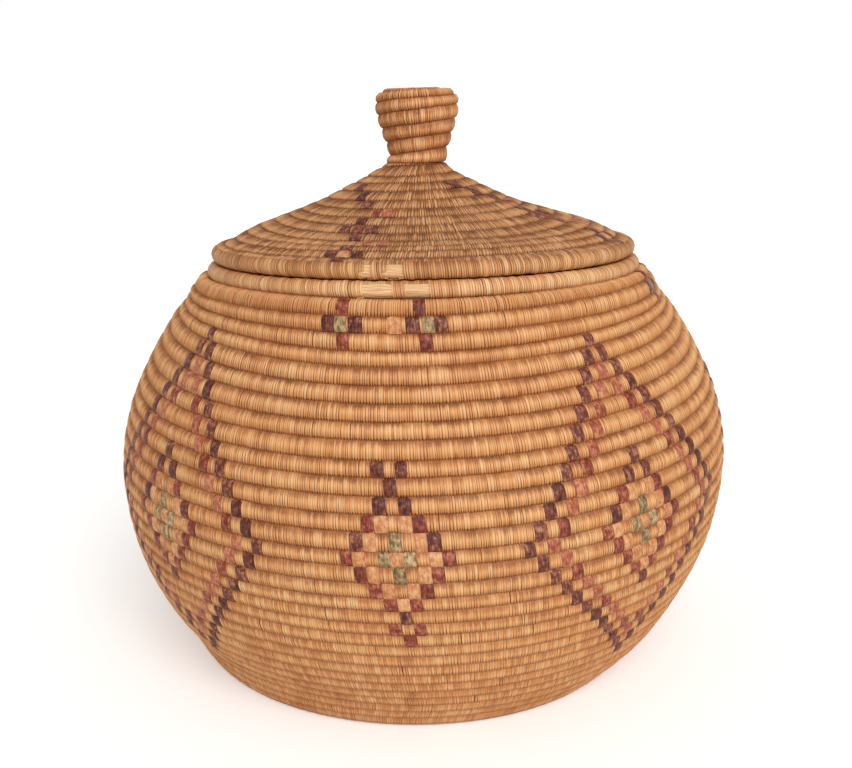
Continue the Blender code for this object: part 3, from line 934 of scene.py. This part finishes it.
@dataclass
class StitchedRing:
    """A closed rim coil: a bundle of grass in a stitched wrap, worn through in front."""

    name: str
    body: str
    centre_radius: float
    height: float
    tube_radius: float
    placed: Placed
    windows: Pairs
    seed: int
    stitch_width: float = 0.85 * MM
    wrap_thickness: float = 0.7 * MM
    wrap_sides: int = 14
    stems: int = 26
    bundle_segments: int = 260
    # The stems stand out by different amounts, clear of the wrap, and swell out of a window
    stem_spread: float = 0.16 * MM
    clearance: float = 0.05 * MM
    swelling: float = 0.35 * MM
    # How far each stitch stands out, and how deep the gap beside it is
    stitch_relief: float = 0.08 * MM
    gap_relief: float = -0.22 * MM
    strengths: tuple[float, float] = (0.5, 1.4)
    # How uneven the thickness of the ring is, at so many places round it
    lumps: float = 0.09 * MM
    knots: int = 61
    # How far a stitch leans
    lean: float = 0.35 * MM
    # A window is open between these angles round the tube, and its ends are ragged by this much
    window_turns: tuple[float, float] = (-1.45, 1.25)
    ragged: float = 0.9 * MM
    # How far the ring fills the corner under the coil that it is sewn to
    corner: float = 0.0

    def ring(self, name: str, segments: int, sides: int) -> Measured:
        """Add a torus and measure it.

        Args:
            name: the name of the piece.
            segments: how many faces it has round the ring.
            sides: how many faces it has round the tube.

        Returns:
            The piece, and the angle round the ring and round the tube of each point.
        """
        deselect_all()
        bpy.ops.mesh.primitive_torus_add(
            major_segments=segments, minor_segments=sides, major_radius=self.centre_radius,
            minor_radius=self.tube_radius)
        piece = named_piece(name)
        points = read_points(piece)
        away = np.hypot(points[:, 0], points[:, 1]) - self.centre_radius
        round_ring = np.arctan2(points[:, 0], -points[:, 1])
        return piece, round_ring, np.arctan2(points[:, 2], away)

    def write_map(self, piece: Object, along: np.ndarray, total: int, across: np.ndarray) -> None:
        """Write the map of a ring, where the count of stitches starts again at the back.

        Args:
            piece: the ring.
            along: U for each point.
            total: how much U counts up round the ring.
            across: V for each point, which counts up to 2 round the tube.
        """
        map_coil(piece, along, across)
        mesh = piece.data
        values = np.empty(len(mesh.loops) * 2, dtype=np.float32)
        mesh.uv_layers["coil"].data.foreach_get("uv", values)
        faces = values.reshape(-1, 4, 2)
        for axis, whole in ((0, float(total)), (1, 2.0)):
            span = faces[:, :, axis].max(axis=1) - faces[:, :, axis].min(axis=1)
            late = span[:, None] > whole / 2.0
            faces[:, :, axis] += np.where(late & (faces[:, :, axis] < whole / 2.0), whole, 0.0)
        mesh.uv_layers["coil"].data.foreach_set("uv", faces.ravel())

    def build_bundle(self, material: Material) -> Object:
        """Make the bundle: stems that lie side by side round the ring.

        Args:
            material: its finish.

        Returns:
            The piece.
        """
        piece, angle, turn = self.ring(
            f"{self.name}_bundle_stems", self.bundle_segments, self.stems)
        rng = np.random.default_rng(self.seed)
        spread = rng.uniform(-self.stem_spread, self.stem_spread, self.stems)
        stem = np.rint(turn / math.tau * self.stems).astype(int) % self.stems
        radius = self.tube_radius - self.wrap_thickness - self.clearance + spread[stem]
        for middle, width in self.windows:
            near = np.abs(angle - middle * DEG) * self.centre_radius / (width / 2.0)
            radius = radius + self.swelling * eased(1.25 - near)
        # The bundle is twisted a little to and fro, nine times round the ring
        twist = turn + 0.05 * np.sin(angle * 9.0)
        self.place_ring(piece, angle, twist, radius)
        along = (angle + math.pi) / math.tau * STEM_MAP_LENGTH
        self.write_map(piece, along, STEM_MAP_LENGTH, (turn + math.pi) / math.pi)
        close_tube(piece, material)
        return piece

    def place_ring(self, piece: Object, angle: np.ndarray, turn: np.ndarray,
                   radius: np.ndarray) -> None:
        """Put the points of a ring in their places.

        Args:
            piece: the ring.
            angle: the angle round the ring of each point.
            turn: its angle round the tube.
            radius: its distance from the middle of the tube.
        """
        inner = np.where(turn > 0.0, np.maximum(-np.sin(2.0 * turn), 0.0), 0.0)
        radius = radius * (1.0 + self.corner * inner)
        out = self.centre_radius + radius * np.cos(turn)
        points = self.placed(
            out * np.sin(angle), -out * np.cos(angle), self.height + radius * np.sin(turn))
        set_points(piece, points)

    def build_wrap(self, material: Material) -> Object:
        """Make the wrap: every stitch round the bundle, with the worn windows left open.

        Args:
            material: its finish.

        Returns:
            The piece.
        """
        number = int(math.tau * self.centre_radius / self.stitch_width)
        piece, angle, turn = self.ring(f"{self.name}_stitches", 2 * number, self.wrap_sides)
        half = np.rint((angle + math.pi) / math.tau * 2 * number).astype(int) % (2 * number)
        rng = np.random.default_rng(self.seed + 1)
        starts = np.concatenate([[0.0], np.cumsum(rng.uniform(*STITCH_WIDTHS, number))])
        starts /= starts[-1]
        places = np.empty(2 * number)
        places[0::2] = starts[:-1]
        places[1::2] = (starts[1:] + starts[:-1]) / 2.0
        strength = np.repeat(rng.uniform(*self.strengths, number), 2)
        on_stitch = half % 2 == 1
        relief = np.where(on_stitch, self.stitch_relief, self.gap_relief) * strength[half]
        knots = rng.normal(0.0, self.lumps, self.knots)
        lumps = np.interp(places[half], np.linspace(0.0, 1.0, self.knots), knots)
        leaning = self.lean * np.sin(turn) / self.centre_radius
        spot = places[half] * math.tau - math.pi - leaning
        self.place_ring(piece, spot, turn, self.tube_radius + relief + lumps)
        # V is 0.2 at the top of the tube and 0.9 at its foot on the outside
        across = 0.55 - 0.35 * turn / (math.pi / 2.0)
        self.write_map(piece, half / 2.0, number, across % 2.0)
        self.open_windows(piece, spot, turn)
        face_out(piece)
        give_thickness(piece, self.wrap_thickness)
        close_tube(piece, material)
        return piece

    def open_windows(self, piece: Object, angle: np.ndarray, turn: np.ndarray) -> None:
        """Delete the faces of the worn windows, with ragged ends.

        Args:
            piece: the wrap.
            angle: the angle round the ring of each point.
            turn: the angle round the tube of each point.
        """
        rng = np.random.default_rng(self.seed + 3)
        # One length for each row of faces round the tube
        ragged = rng.uniform(-self.ragged, self.ragged, 64)
        row = np.rint(turn * 8.0).astype(int) % 64
        low, high = self.window_turns
        worn = np.zeros(len(angle), dtype=bool)
        for middle, width in self.windows:
            aside = np.abs(angle - middle * DEG) * self.centre_radius - width / 2.0
            worn |= (aside < ragged[row]) & (turn > low) & (turn < high)
        choose(piece)
        gone = worn[corner_points(piece)].reshape(-1, 4).all(axis=1)
        bpy.ops.object.mode_set(mode="EDIT")
        bpy.ops.mesh.select_mode(type="FACE")
        bpy.ops.mesh.select_all(action="DESELECT")
        bpy.ops.object.mode_set(mode="OBJECT")
        piece.data.polygons.foreach_set("select", gone)
        bpy.ops.object.mode_set(mode="EDIT")
        bpy.ops.mesh.delete(type="FACE")
        bpy.ops.mesh.select_mode(type="VERT")
        bpy.ops.object.mode_set(mode="OBJECT")


@dataclass(frozen=True)
class DyedCell:
    """One dyed strip of the pattern: its row, its angle at the front side, and its dye."""

    row: float
    angle: float
    dye: Dye
    width: float = 4.75 * MM


@dataclass
class DyedPattern:
    """The dyed strips of a coil, each laid over one row, four times round the basket."""

    prefix: str
    body: str
    winding: Winding
    first_row: float
    cells: list[DyedCell]
    slot: str
    # How far a strip stands over the stitches, how thick it is, and how far its ends dip
    lift: float = 0.42 * MM
    thickness: float = 0.35 * MM
    dip: float = 0.30 * MM
    lean: float = 0.3 * MM
    # How the strips differ in width and length, as shares of their own, and in place
    widths: tuple[float, float] = (0.92, 1.08)
    lengths: tuple[float, float] = (1.0, 1.08)
    jitter: float = 0.12 * MM
    seed: int = 5

    def master(self) -> Object:
        """Make the strip that is copied: a small crowned sheet with its edges turned down.

        Returns:
            The sheet, one unit wide and long, whose heights are shares of the dip.
        """
        strip = new_grid("dyed_strip", 4, 6)
        points = read_points(strip)
        side = np.abs(points[:, 0]) > 0.49
        end = np.abs(points[:, 1]) > 0.49
        points[:, 2] = np.where(side, -1.0, np.where(end, -0.3, 0.0))
        set_points(strip, points)
        return strip

    def lay(self, master: Object, cell: DyedCell, quarter: int, number: int,
            rng: np.random.Generator) -> Object:
        """Lay one copy of the strip over its coil.

        Args:
            master: the strip.
            cell: where it goes.
            quarter: in which quarter of the basket, 0 at the front.
            number: the number that its map starts with.
            rng: the maker's uneven hand.

        Returns:
            The copy.
        """
        strip = master.copy()
        strip.data = master.data.copy()
        bpy.context.collection.objects.link(strip)
        points = read_points(strip)
        # The rows are counted anew behind, at an angle where no figure stands
        angle = ((cell.angle + 90.0 * quarter + 170.0) % 360.0 - 170.0) * DEG
        turn = cell.row - self.first_row - 1.0 - angle / math.tau
        middle = (self.winding.seam(np.array([turn])) + self.winding.seam(np.array([turn + 1.0])))
        radius = float(self.winding.outline.at(middle / 2.0)[0][0])
        width = cell.width * rng.uniform(*self.widths)
        along = points[:, 0] * width - self.lean * points[:, 1] + rng.normal(0.0, self.jitter)
        # Each strip lies just below the middle of its row
        across = 0.52 - points[:, 1] * rng.uniform(*self.lengths)
        turns = turn - along / radius / math.tau
        lift = self.winding.profile_lift(turns, across) + self.lift + points[:, 2] * self.dip
        set_points(strip, self.winding.surface(turns, across, lift))
        # U stays clear of the whole numbers, where the next strip's starts
        inside = points[:, 0] * 0.96 + 0.5
        map_coil(strip, inside + number, points[:, 1] + 0.5)
        return strip

    def build(self) -> list[Object]:
        """Make the dyed strips, one piece for each dye.

        Returns:
            The pieces.
        """
        master = self.master()
        rng = np.random.default_rng(self.seed)
        pieces = []
        for dye in Dye:
            strips = [
                self.lay(master, cell, quarter, number * 4 + quarter, rng)
                for number, cell in enumerate(self.cells) if cell.dye is dye
                for quarter in range(4)]
            if not strips:
                continue
            piece = join_pieces(f"{self.prefix}_{dye.name.lower()}", strips)
            give_thickness(piece, self.thickness)
            dress(piece, dye.value.material(), 60.0 * DEG)
            ride_on(piece, self.body, ())
            pieces.append(piece)
        bpy.data.objects.remove(master, do_unlink=True)
        return pieces


def mirrored(centre: float, cell_angle: float, row: float,
             pairs: dict[int, Dye]) -> list[DyedCell]:
    """List the cells of one row of a lozenge.

    Args:
        centre: the angle of its middle.
        cell_angle: the angle of one cell.
        row: the row.
        pairs: the dye by the number of cells from the middle, to both sides.

    Returns:
        The cells.
    """
    return [
        DyedCell(row, centre + sign * aside * cell_angle, dye)
        for aside, dye in pairs.items() for sign in ((1, -1) if aside else (1,))]


@dataclass
class Basket:
    """The open basket: the spiral wall, the flat base, the rim ring and the dyed pattern."""

    belly_radius: float = 130.0 * MM
    height: float = 173.3 * MM
    # The outline of the belly from the floor up: shares of the height and of the radius
    profile: Pairs = (
        (0.000, 0.735), (0.080, 0.815), (0.200, 0.911), (0.335, 0.977), (0.490, 1.000),
        (0.630, 0.968), (0.760, 0.890), (0.890, 0.781), (0.950, 0.734), (1.000, 0.669))
    # Widths of the wall's rows in millimetres, from the rim down
    rows: tuple[float, ...] = (
        11.0, 5.1, 4.8, 4.2, 6.4, 6.6, 6.8, 6.5, 7.1, 6.2, 6.5, 6.8, 6.5, 6.9, 5.9, 6.2, 6.6, 5.2,
        5.8, 5.2, 5.8, 5.4, 5.8, 5.9, 5.7, 5.3, 5.1, 5.8, 5.7, 6.0, 7.5)
    # How far the first rows are drawn up at the left side
    gather: tuple[float, ...] = (
        0.0, 0.8 * MM, 2.8 * MM, 2.9 * MM, 2.6 * MM, 1.6 * MM, 1.6 * MM, 0.5 * MM, 0.0)
    # How far the coils stand out, from the rim to the floor
    crest_scale: Pairs = (
        (0.0, 1.25), (0.45, 1.25), (0.60, 0.95), (0.78, 0.8), (0.9, 0.5), (1.0, 0.45))
    thickness: float = 6.0 * MM
    rim_tube_radius: float = 3.6 * MM
    gap: float = 0.3 * MM
    # The mouth sank a little and tips to the left and to the back, as it was sewn
    lean_back: float = 6.1 * DEG
    lean_side: float = 1.15 * DEG
    mouth_drop: float = 4.3 * MM
    # Shares of the height where the lean sets in, in front and at the back, and is full
    lean_back_shares: tuple[float, float, float] = (0.84, 0.45, 0.955)
    lean_side_over: float = 0.23
    # The top coil rises to the rim at the sides, from a share of the height over another
    side_lift: float = 1.3 * MM
    side_lift_shares: tuple[float, float] = (0.91, 0.04)
    side_lift_reach: float = 0.7
    # The foot stands to the left of the belly, up to a share of the height
    base_shift: float = 3.2 * MM
    base_shift_over: float = 0.10
    # The wall's first row starts under the rim ring: out from the ring's middle, and up
    shoulder: Pairs = (
        (1.0 * MM, 0.0), (2.2 * MM, 0.6 * MM), (4.2 * MM, 1.2 * MM), (6.1 * MM, 0.7 * MM))
    # Where the rim's wrap is worn through: the angle to the right of the front, and the width
    windows: Pairs = ((-10.7, 14.5 * MM), (-1.3, 11.6 * MM))
    # In how many pieces the coil of the wall is made, none too large for the export
    bands: int = 6
    cell_angle: float = 2.05
    base_lift: float = 0.6 * MM
    base_rows: int = 13
    base_clearance: float = 1.0 * MM

    def __post_init__(self) -> None:
        """Draw the outline of the wall and find the rim."""
        line = smooth_line(self.profile)
        self.line_height = line[:, 0] * self.height
        self.line_radius = line[:, 1] * self.belly_radius
        tube = self.rim_tube_radius
        self.rim_radius = self.radius_at(self.height - tube) - tube
        self.mouth_radius = self.rim_radius - tube
        self.wall_top = self.height - (2.0 * tube + self.gap) / math.cos(self.lean_back)

    def radius_at(self, height: float) -> float:
        """Return the radius of the belly at a height."""
        return float(np.interp(height, self.line_height, self.line_radius))

    def leaned(self, x: np.ndarray, y: np.ndarray, z: np.ndarray) -> np.ndarray:
        """Place points of the round form in the basket as it was sewn, never under the floor.

        Args:
            x: places to the side.
            y: places to the back.
            z: heights.

        Returns:
            An array of points.
        """
        front, behind, full = self.lean_back_shares
        # Where the lean sets in sinks from the front to the back of the belly
        start = front + (behind - front) * eased(1.25 * y / self.belly_radius + 0.06)
        back = eased((z / self.height - start) / (full - start))
        side = eased(z / (self.height * self.lean_side_over))
        shift = self.base_shift * (1.0 - eased(z / (self.height * self.base_shift_over)))
        rise = math.tan(self.lean_side) * side * x
        rise = rise - (math.tan(self.lean_back) * y + self.mouth_drop) * back
        high = eased((z / self.height - self.side_lift_shares[0]) / self.side_lift_shares[1])
        aside = eased(np.abs(x) / self.belly_radius / self.side_lift_reach)
        rise = rise + self.side_lift * high * aside
        return np.stack([x - shift, y, np.maximum(z + rise, 0.0)], axis=-1)

    def wall_winding(self) -> Winding:
        """Lay out the coil of the wall, from under the rim ring down to the floor.

        Returns:
            The winding.
        """
        below = self.line_height < self.wall_top
        height = np.concatenate([
            [self.wall_top + rise for _, rise in self.shoulder], [self.wall_top],
            self.line_height[below][::-1]])
        radius = np.concatenate([
            [self.rim_radius + out for out, _ in self.shoulder], [self.radius_at(self.wall_top)],
            self.line_radius[below][::-1]])
        return Winding(
            "wall_coil_rows", Outline(radius, height), self.rows, self.leaned, 11,
            crest_scale=self.crest_scale, gather=self.gather)

    def build_wall(self) -> Winding:
        """Make the wall in bands of the one coil.

        Returns:
            The winding, which the dyed strips lie on.
        """
        winding = self.wall_winding()
        for piece in winding.wind(self.bands, WALL_GRASS.material()):
            ride_on(piece, "basket", ("wall_coil",))
        return winding

    def build_base(self) -> None:
        """Make the base: a flat coil inside the foot of the wall, stitched on both sides."""
        edge = self.radius_at(0.0) - self.thickness - self.base_clearance
        outline = Outline(np.linspace(edge, EYE, 40), np.full(40, self.base_lift))
        section = Section(
            across=(0.0, 0.12, 0.5, 0.88, 1.0, 0.95, 0.75, 0.5, 0.25, 0.05),
            lift=(-2.0, -0.5, 0.0, -0.4, -0.9, -4.4, -5.6, -5.9, -5.6, -4.4),
            peak=(0.0, 0.08, 0.1, 0.1, 0.1, 0.0, -0.1, -0.12, -0.1, 0.0),
            gap=(0.0, -0.1, -0.15, -0.15, -0.3, 0.0, 0.15, 0.15, 0.15, 0.0),
            peak_shift=(0.0,) * 10, gap_shift=(0.0,) * 10, crest=4)
        winding = Winding(
            "base_coil_rows", outline, (1.0,) * self.base_rows, self.leaned, 23,
            section=section, stitch_width=1.3 * MM, slant=-1.0 * MM)
        for piece in winding.wind(1, INNER_GRASS.material()):
            ride_on(piece, "basket", ("base_coil",))

    def tipped(self, x: np.ndarray, y: np.ndarray, z: np.ndarray) -> np.ndarray:
        """Place points of the mouth, whose middle sank from the basket's full height.

        Args:
            x: places to the side.
            y: places to the back.
            z: heights over the mouth.

        Returns:
            An array of points.
        """
        turn = np.array(Euler((-self.lean_back, -self.lean_side, 0.0)).to_matrix())
        points = np.stack([x, y, z], axis=-1) @ turn.T
        return points + np.array([0.0, 0.0, self.height - self.mouth_drop])

    def build_rim(self) -> None:
        """Make the rim ring of the basket."""
        ring = StitchedRing(
            "rim", "basket", self.rim_radius, -self.rim_tube_radius, self.rim_tube_radius,
            self.tipped, self.windows, 31)
        bundle = ring.build_bundle(RIM_STEMS.material())
        ride_on(bundle, "basket", ("rim_bundle",))
        ride_on(ring.build_wrap(RIM_GRASS.material()), "basket", ("rim_wrap",))

    def pattern_cells(self) -> list[DyedCell]:
        """List the dyed strips of a quarter of the wall.

        Returns:
            The crosses under the rim, the small lozenge, and the large lozenge round its own.
        """
        dark, maroon, red, salmon, olive = Dye
        cells = [DyedCell(*cell) for cell in (
            (2, -18.0, maroon), (3, -20.6, dark), (3, -17.9, olive), (3, -14.6, dark, 5.6 * MM),
            (4, -16.9, maroon), (2, -0.9, maroon), (3, -5.9, salmon), (3, -2.3, dark, 5.0 * MM),
            (3, 1.1, olive), (3, 3.7, dark), (4, 0.6, maroon))]
        heart = {
            12: {0: dark}, 13: {1: dark}, 14: {2: maroon, 1: salmon},
            15: {3: dark, 2: salmon, 0: olive}, 16: {4: maroon, 3: salmon, 1: olive, 0: salmon},
            17: {3: maroon, 2: salmon, 0: olive}, 18: {2: maroon, 1: salmon},
            19: {1: maroon, 0: salmon}, 20: {0: dark}}
        small = {11: {1: dark}, **heart, 21: {1: maroon}, 22: {0: maroon}}
        # Both lozenges lean: their middles move by a part of a degree from row to row
        for row, pairs in small.items():
            cells += mirrored(-5.35 + 0.33 * (row - 12), self.cell_angle, row, pairs)
        first, last = 5, 27
        for row in range(first, last + 1):
            centre = 37.0 + 0.25 * (row - first)
            aside = min(row - first, last - row)
            pairs = {aside: dark}
            inner = aside - 2
            if inner >= 0:
                pairs[inner] = maroon if row % 3 == 0 else red
            pairs.update(heart.get(row, {}))
            cells += mirrored(centre, self.cell_angle, row, pairs)
        return cells

    def build_pattern(self, winding: Winding) -> None:
        """Lay the dyed strips over the wall."""
        DyedPattern(
            "wall_dyed", "basket", winding, 1.0, self.pattern_cells(), "wall_straw").build()

    def build(self) -> None:
        """Make the whole basket under the lid."""
        winding = self.build_wall()
        self.build_base()
        self.build_rim()
        self.build_pattern(winding)


@dataclass
class Lid:
    """The lid: its rim ring, the cone coil, the flange that seats it, the knob, and its dyes."""

    basket: Basket
    rise: float = 39.0 * MM
    # How far its rim stays inside the basket's
    setback: float = 1.9 * MM
    tube_radius: float = 3.5 * MM
    thickness: float = 5.5 * MM
    # The outline of the cone from the neck to its foot: shares of the rise and of the foot
    profile: Pairs = (
        (1.000, 0.153), (0.962, 0.168), (0.860, 0.250), (0.723, 0.384), (0.585, 0.528),
        (0.448, 0.725), (0.330, 0.893), (0.212, 1.000), (0.192, 1.032), (0.174, 1.064))
    # Widths of the lid's rows in millimetres, from the middle out
    rows: tuple[float, ...] = (
        6.1, 6.1, 7.2, 5.4, 6.5, 7.0, 6.1, 6.6, 6.3, 6.9, 7.1, 7.3, 6.0, 5.1, 5.0)
    knob_radius: float = 17.1 * MM
    knob_height: float = 30.2 * MM
    # The outline of the knob from its eye down: shares of its height and of its radius
    knob_profile: Pairs = (
        (1.000, 0.180), (1.000, 0.640), (0.970, 0.860), (0.870, 1.000), (0.700, 1.000),
        (0.520, 0.925), (0.320, 0.815), (0.130, 0.710), (0.000, 0.735))
    knob_rows: tuple[float, ...] = (6.0, 6.0, 5.9, 5.1, 6.0, 5.8, 6.1, 4.5)
    knob_sway: float = 2.2 * DEG
    windows: Pairs = ((-13.4, 5.8 * MM), (-6.7, 8.4 * MM))
    # The cone stands to the left of the rim, from one share of the rise over another, and the
    # knob leans back to the right
    sway: float = 3.2 * MM
    sway_start: float = 0.25
    sway_over: float = 0.40
    sway_back: float = 1.9 * MM
    sway_back_start: float = 0.90
    sway_back_over: float = 0.20
    # In front the cone sags between shares of its radius, most of all at the second
    sag: float = 2.6 * MM
    sag_start: float = 0.32
    sag_deepest: float = 0.80
    flange_depth: float = 10.5 * MM
    flange_clearance: float = 4.6 * MM

    def __post_init__(self) -> None:
        """Find the rings that follow from the basket's mouth."""
        outer = self.basket.rim_radius + self.basket.rim_tube_radius - self.setback
        self.ring_radius = outer - self.tube_radius
        self.cone_radius = self.ring_radius - self.tube_radius - self.basket.gap

    def settled(self, x: np.ndarray, y: np.ndarray, z: np.ndarray) -> np.ndarray:
        """Place points of the cone and the knob, which lean a little and sag in front.

        Args:
            x: places to the side.
            y: places to the back.
            z: heights over the rim of the basket.

        Returns:
            An array of points.
        """
        sway = self.sway * eased((z / self.rise - self.sway_start) / self.sway_over)
        back = eased((z / self.rise - self.sway_back_start) / self.sway_back_over)
        sway = sway - self.sway_back * back
        radius = np.hypot(x, y)
        across = radius / self.cone_radius
        inward = (across - self.sag_start) / (self.sag_deepest - self.sag_start)
        outward = (1.0 - across) / (1.0 - self.sag_deepest)
        sag = self.sag * eased(-y / radius) * eased(np.minimum(inward, outward))
        return self.basket.tipped(x - sway, y, z - sag)

    def cone_outline(self) -> Outline:
        """Draw the outline of the lid from its middle, under the knob, down to its foot.

        Returns:
            The outline.
        """
        line = smooth_line(self.profile)
        radius = line[:, 1] * self.cone_radius
        height = line[:, 0] * self.rise
        middle = np.linspace(EYE, radius[0], 8)[:-1]
        level = np.full(len(middle), height[0])
        return Outline(np.concatenate([middle, radius]), np.concatenate([level, height]))

    def build_cone(self) -> Winding:
        """Make the cone.

        Returns:
            The winding, which the dyed strips lie on.
        """
        section = Section(
            lift=(-1.2, -0.34, -0.03, 0.0, -0.08, -0.36, -2.1, -5.1, -5.1),
            gap=(0.0, -0.06, -0.12, -0.16, -0.28, -0.40, 0.0, 0.10, 0.10))
        winding = Winding(
            "lid_coil_rows", self.cone_outline(), self.rows, self.settled, 41, section=section,
            slant=-0.7 * MM)
        for piece in winding.wind(1, LID_GRASS.material()):
            ride_on(piece, "lid", ("lid_cone_coil",))
        return winding

    def build_rim(self) -> None:
        """Make the rim ring of the lid."""
        ring = StitchedRing(
            "lid_rim", "lid", self.ring_radius, self.tube_radius, self.tube_radius,
            self.basket.tipped, self.windows, 53, corner=0.30)
        bundle = ring.build_bundle(LID_RIM_STEMS.material())
        ride_on(bundle, "lid", ("lid_rim_bundle",))
        wrap = ring.build_wrap(LID_RIM_GRASS.material())
        ride_on(wrap, "lid", ("lid_rim_wrap",))

    def build_flange(self) -> None:
        """Make the flange: two stitched coils under the lid that drop inside the mouth."""
        outer = self.basket.mouth_radius - self.flange_clearance
        cone = self.cone_outline()
        radius, height, out_r, out_h = cone.at(cone.lengths)
        under = height - out_h * self.thickness
        top = float(np.interp(outer, radius - out_r * self.thickness, under)) - self.basket.gap
        outline = Outline(np.full(20, outer), np.linspace(top, top - self.flange_depth, 20))
        section = Section(
            across=(0.0, 0.08, 0.3, 0.7, 0.92, 1.0, 0.92, 0.7, 0.3, 0.08),
            lift=(-2.3, -0.9, -0.1, -0.1, -0.9, -2.3, -4.5, -5.3, -5.3, -4.5),
            peak=(0.0, 0.05, 0.1, 0.1, 0.1, 0.0, -0.05, -0.1, -0.1, -0.05),
            gap=(0.0, -0.05, -0.12, -0.15, -0.2, 0.0, 0.05, 0.12, 0.12, 0.05),
            peak_shift=(0.0,) * 10, gap_shift=(0.0,) * 10, crest=5)
        winding = Winding(
            "lid_flange_rows", outline, (1.0, 1.0), self.basket.tipped, 61, section=section,
            wobble=0.0, lumps=0.05 * MM)
        for piece in winding.wind(1, INNER_GRASS.material()):
            ride_on(piece, "lid", ("lid_flange",))

    def build_knob(self) -> None:
        """Make the knob: one coil from its eye on top down to the neck of the lid."""
        line = smooth_line(self.knob_profile)
        radius = line[:, 1] * self.knob_radius
        height = np.minimum(line[:, 0], 1.0) * self.knob_height + self.rise + self.basket.gap
        radius = np.concatenate([[EYE], radius])
        height = np.concatenate([[height[0]], height])
        section = Section(
            lift=(-1.6, -0.8, -0.12, 0.12, -0.30, -0.95, -2.6, -5.0, -5.0),
            across=(-0.05, 0.08, 0.30, 0.62, 0.90, 1.01, 0.98, 0.78, 0.22))
        winding = Winding(
            "knob_coil_rows", Outline(radius, height), self.knob_rows, self.settled, 71,
            section=section, slant=0.4 * MM, sway=math.tan(self.knob_sway), wobble=0.3 * MM)
        for piece in winding.wind(1, KNOB_GRASS.material()):
            ride_on(piece, "lid", ("knob_coil",))

    def pattern_cells(self) -> list[DyedCell]:
        """List the dyed strips of a quarter of the lid.

        Returns:
            The chain of crosses and single strips, with its rows counted from the neck.
        """
        dark, maroon, red, salmon, _ = Dye
        return [DyedCell(*cell) for cell in (
            (4, -52.0, dark), (5, -39.0, dark), (6, -28.6, dark), (7, -19.8, maroon, 2.6 * MM),
            (7, -13.6, red), (8, -24.8, dark), (9, -29.3, dark), (9, -23.9, maroon),
            (9, -18.1, dark), (10, -22.5, dark), (11, -16.9, red, 3.0 * MM), (11, -11.3, red),
            (12, -21.9, dark), (13, -25.3, dark), (13, -21.4, salmon), (13, -17.5, dark),
            (14, -21.6, dark))]

    def build_pattern(self, winding: Winding) -> None:
        """Lay the dyed strips over the cone.

        Args:
            winding: the coil of the cone.
        """
        DyedPattern(
            "lid_dyed", "lid", winding, -1.0, self.pattern_cells(), "lid_straw", lean=1.6 * MM,
            seed=9).build()

    def build(self) -> None:
        """Make the whole lid."""
        winding = self.build_cone()
        self.build_rim()
        self.build_flange()
        self.build_knob()
        self.build_pattern(winding)


@dataclass(frozen=True)
class Lamp:
    """A large soft lamp: its strength, how far its light spreads, its tilt and its turn."""

    name: str
    strength: float
    spread: float
    tilt: float
    turn: float


@dataclass
class Studio:
    """The camera, the plain pale floor and the soft light."""

    camera_place: tuple[float, float, float] = (0.0, -0.5785, 0.2924)
    camera_tilt: float = 72.65 * DEG
    lens: float = 58.57
    sensor: float = 36.0
    shift: float = 0.0035
    floor_size: float = 12.0
    floor_colour: str = "F2F1EE"
    floor_roughness: float = 0.9
    # How much the camera alone sees the paper lifted to white
    floor_lift: float = 0.35
    sky: float = 0.52
    lamps: tuple[Lamp, ...] = (
        Lamp("key", 1.28, 35.0 * DEG, 48.0 * DEG, 14.0 * DEG),
        Lamp("fill", 0.50, 60.0 * DEG, 62.0 * DEG, 36.0 * DEG))

    def build_camera(self) -> None:
        """Set the camera at the photograph's place."""
        data = bpy.data.cameras.new("camera")
        data.lens = self.lens
        data.sensor_width = self.sensor
        data.shift_x = self.shift
        camera = bpy.data.objects.new("camera", data)
        camera.location = self.camera_place
        camera.rotation_euler = (self.camera_tilt, 0.0, 0.0)
        bpy.context.scene.collection.objects.link(camera)
        bpy.context.scene.camera = camera

    def build_floor(self) -> None:
        """Lay the floor: matt pale paper that the camera sees as white and that keeps shadows."""
        deselect_all()
        bpy.ops.mesh.primitive_plane_add(size=self.floor_size, location=(0.0, 0.0, 0.0))
        floor = named_piece("floor")
        made = empty_material("Matt pale paper")
        tree = made.node_tree
        seen = add_node(tree, "LightPath").outputs["Is Camera Ray"]
        lift = add_node(tree, "Math", seen, self.floor_lift, operation="MULTIPLY")
        paper = add_node(tree, "BsdfPrincipled", named={
            "Base Color": linear(self.floor_colour), "Roughness": self.floor_roughness,
            "Emission Color": WHITE, "Emission Strength": lift})
        add_node(tree, "OutputMaterial", paper)
        floor.data.materials.append(made)

    def build_lights(self) -> None:
        """Hang the soft lamps and the pale surroundings."""
        for lamp in self.lamps:
            data = bpy.data.lights.new(lamp.name, "SUN")
            data.energy = lamp.strength
            data.angle = lamp.spread
            light = bpy.data.objects.new(lamp.name, data)
            light.rotation_euler = (lamp.tilt, 0.0, lamp.turn)
            bpy.context.scene.collection.objects.link(light)
        world = bpy.data.worlds.new("surroundings")
        world.use_nodes = True
        tree = world.node_tree
        tree.nodes.clear()
        seen = add_node(tree, "LightPath").outputs["Is Camera Ray"]
        strength = add_node(tree, "MapRange", seen, named={"To Min": self.sky, "To Max": 1.0})
        add_node(tree, "OutputWorld", add_node(tree, "Background", WHITE, strength))
        bpy.context.scene.world = world

    def build(self) -> None:
        """Set up the studio."""
        self.build_camera()
        self.build_floor()
        self.build_lights()
        bpy.context.scene.view_settings.view_transform = "Standard"


def main() -> None:
    """Make the basket, the lid and the studio."""
    basket = Basket()
    basket.build()
    Lid(basket).build()
    Studio().build()


if __name__ == "__main__":
    main()
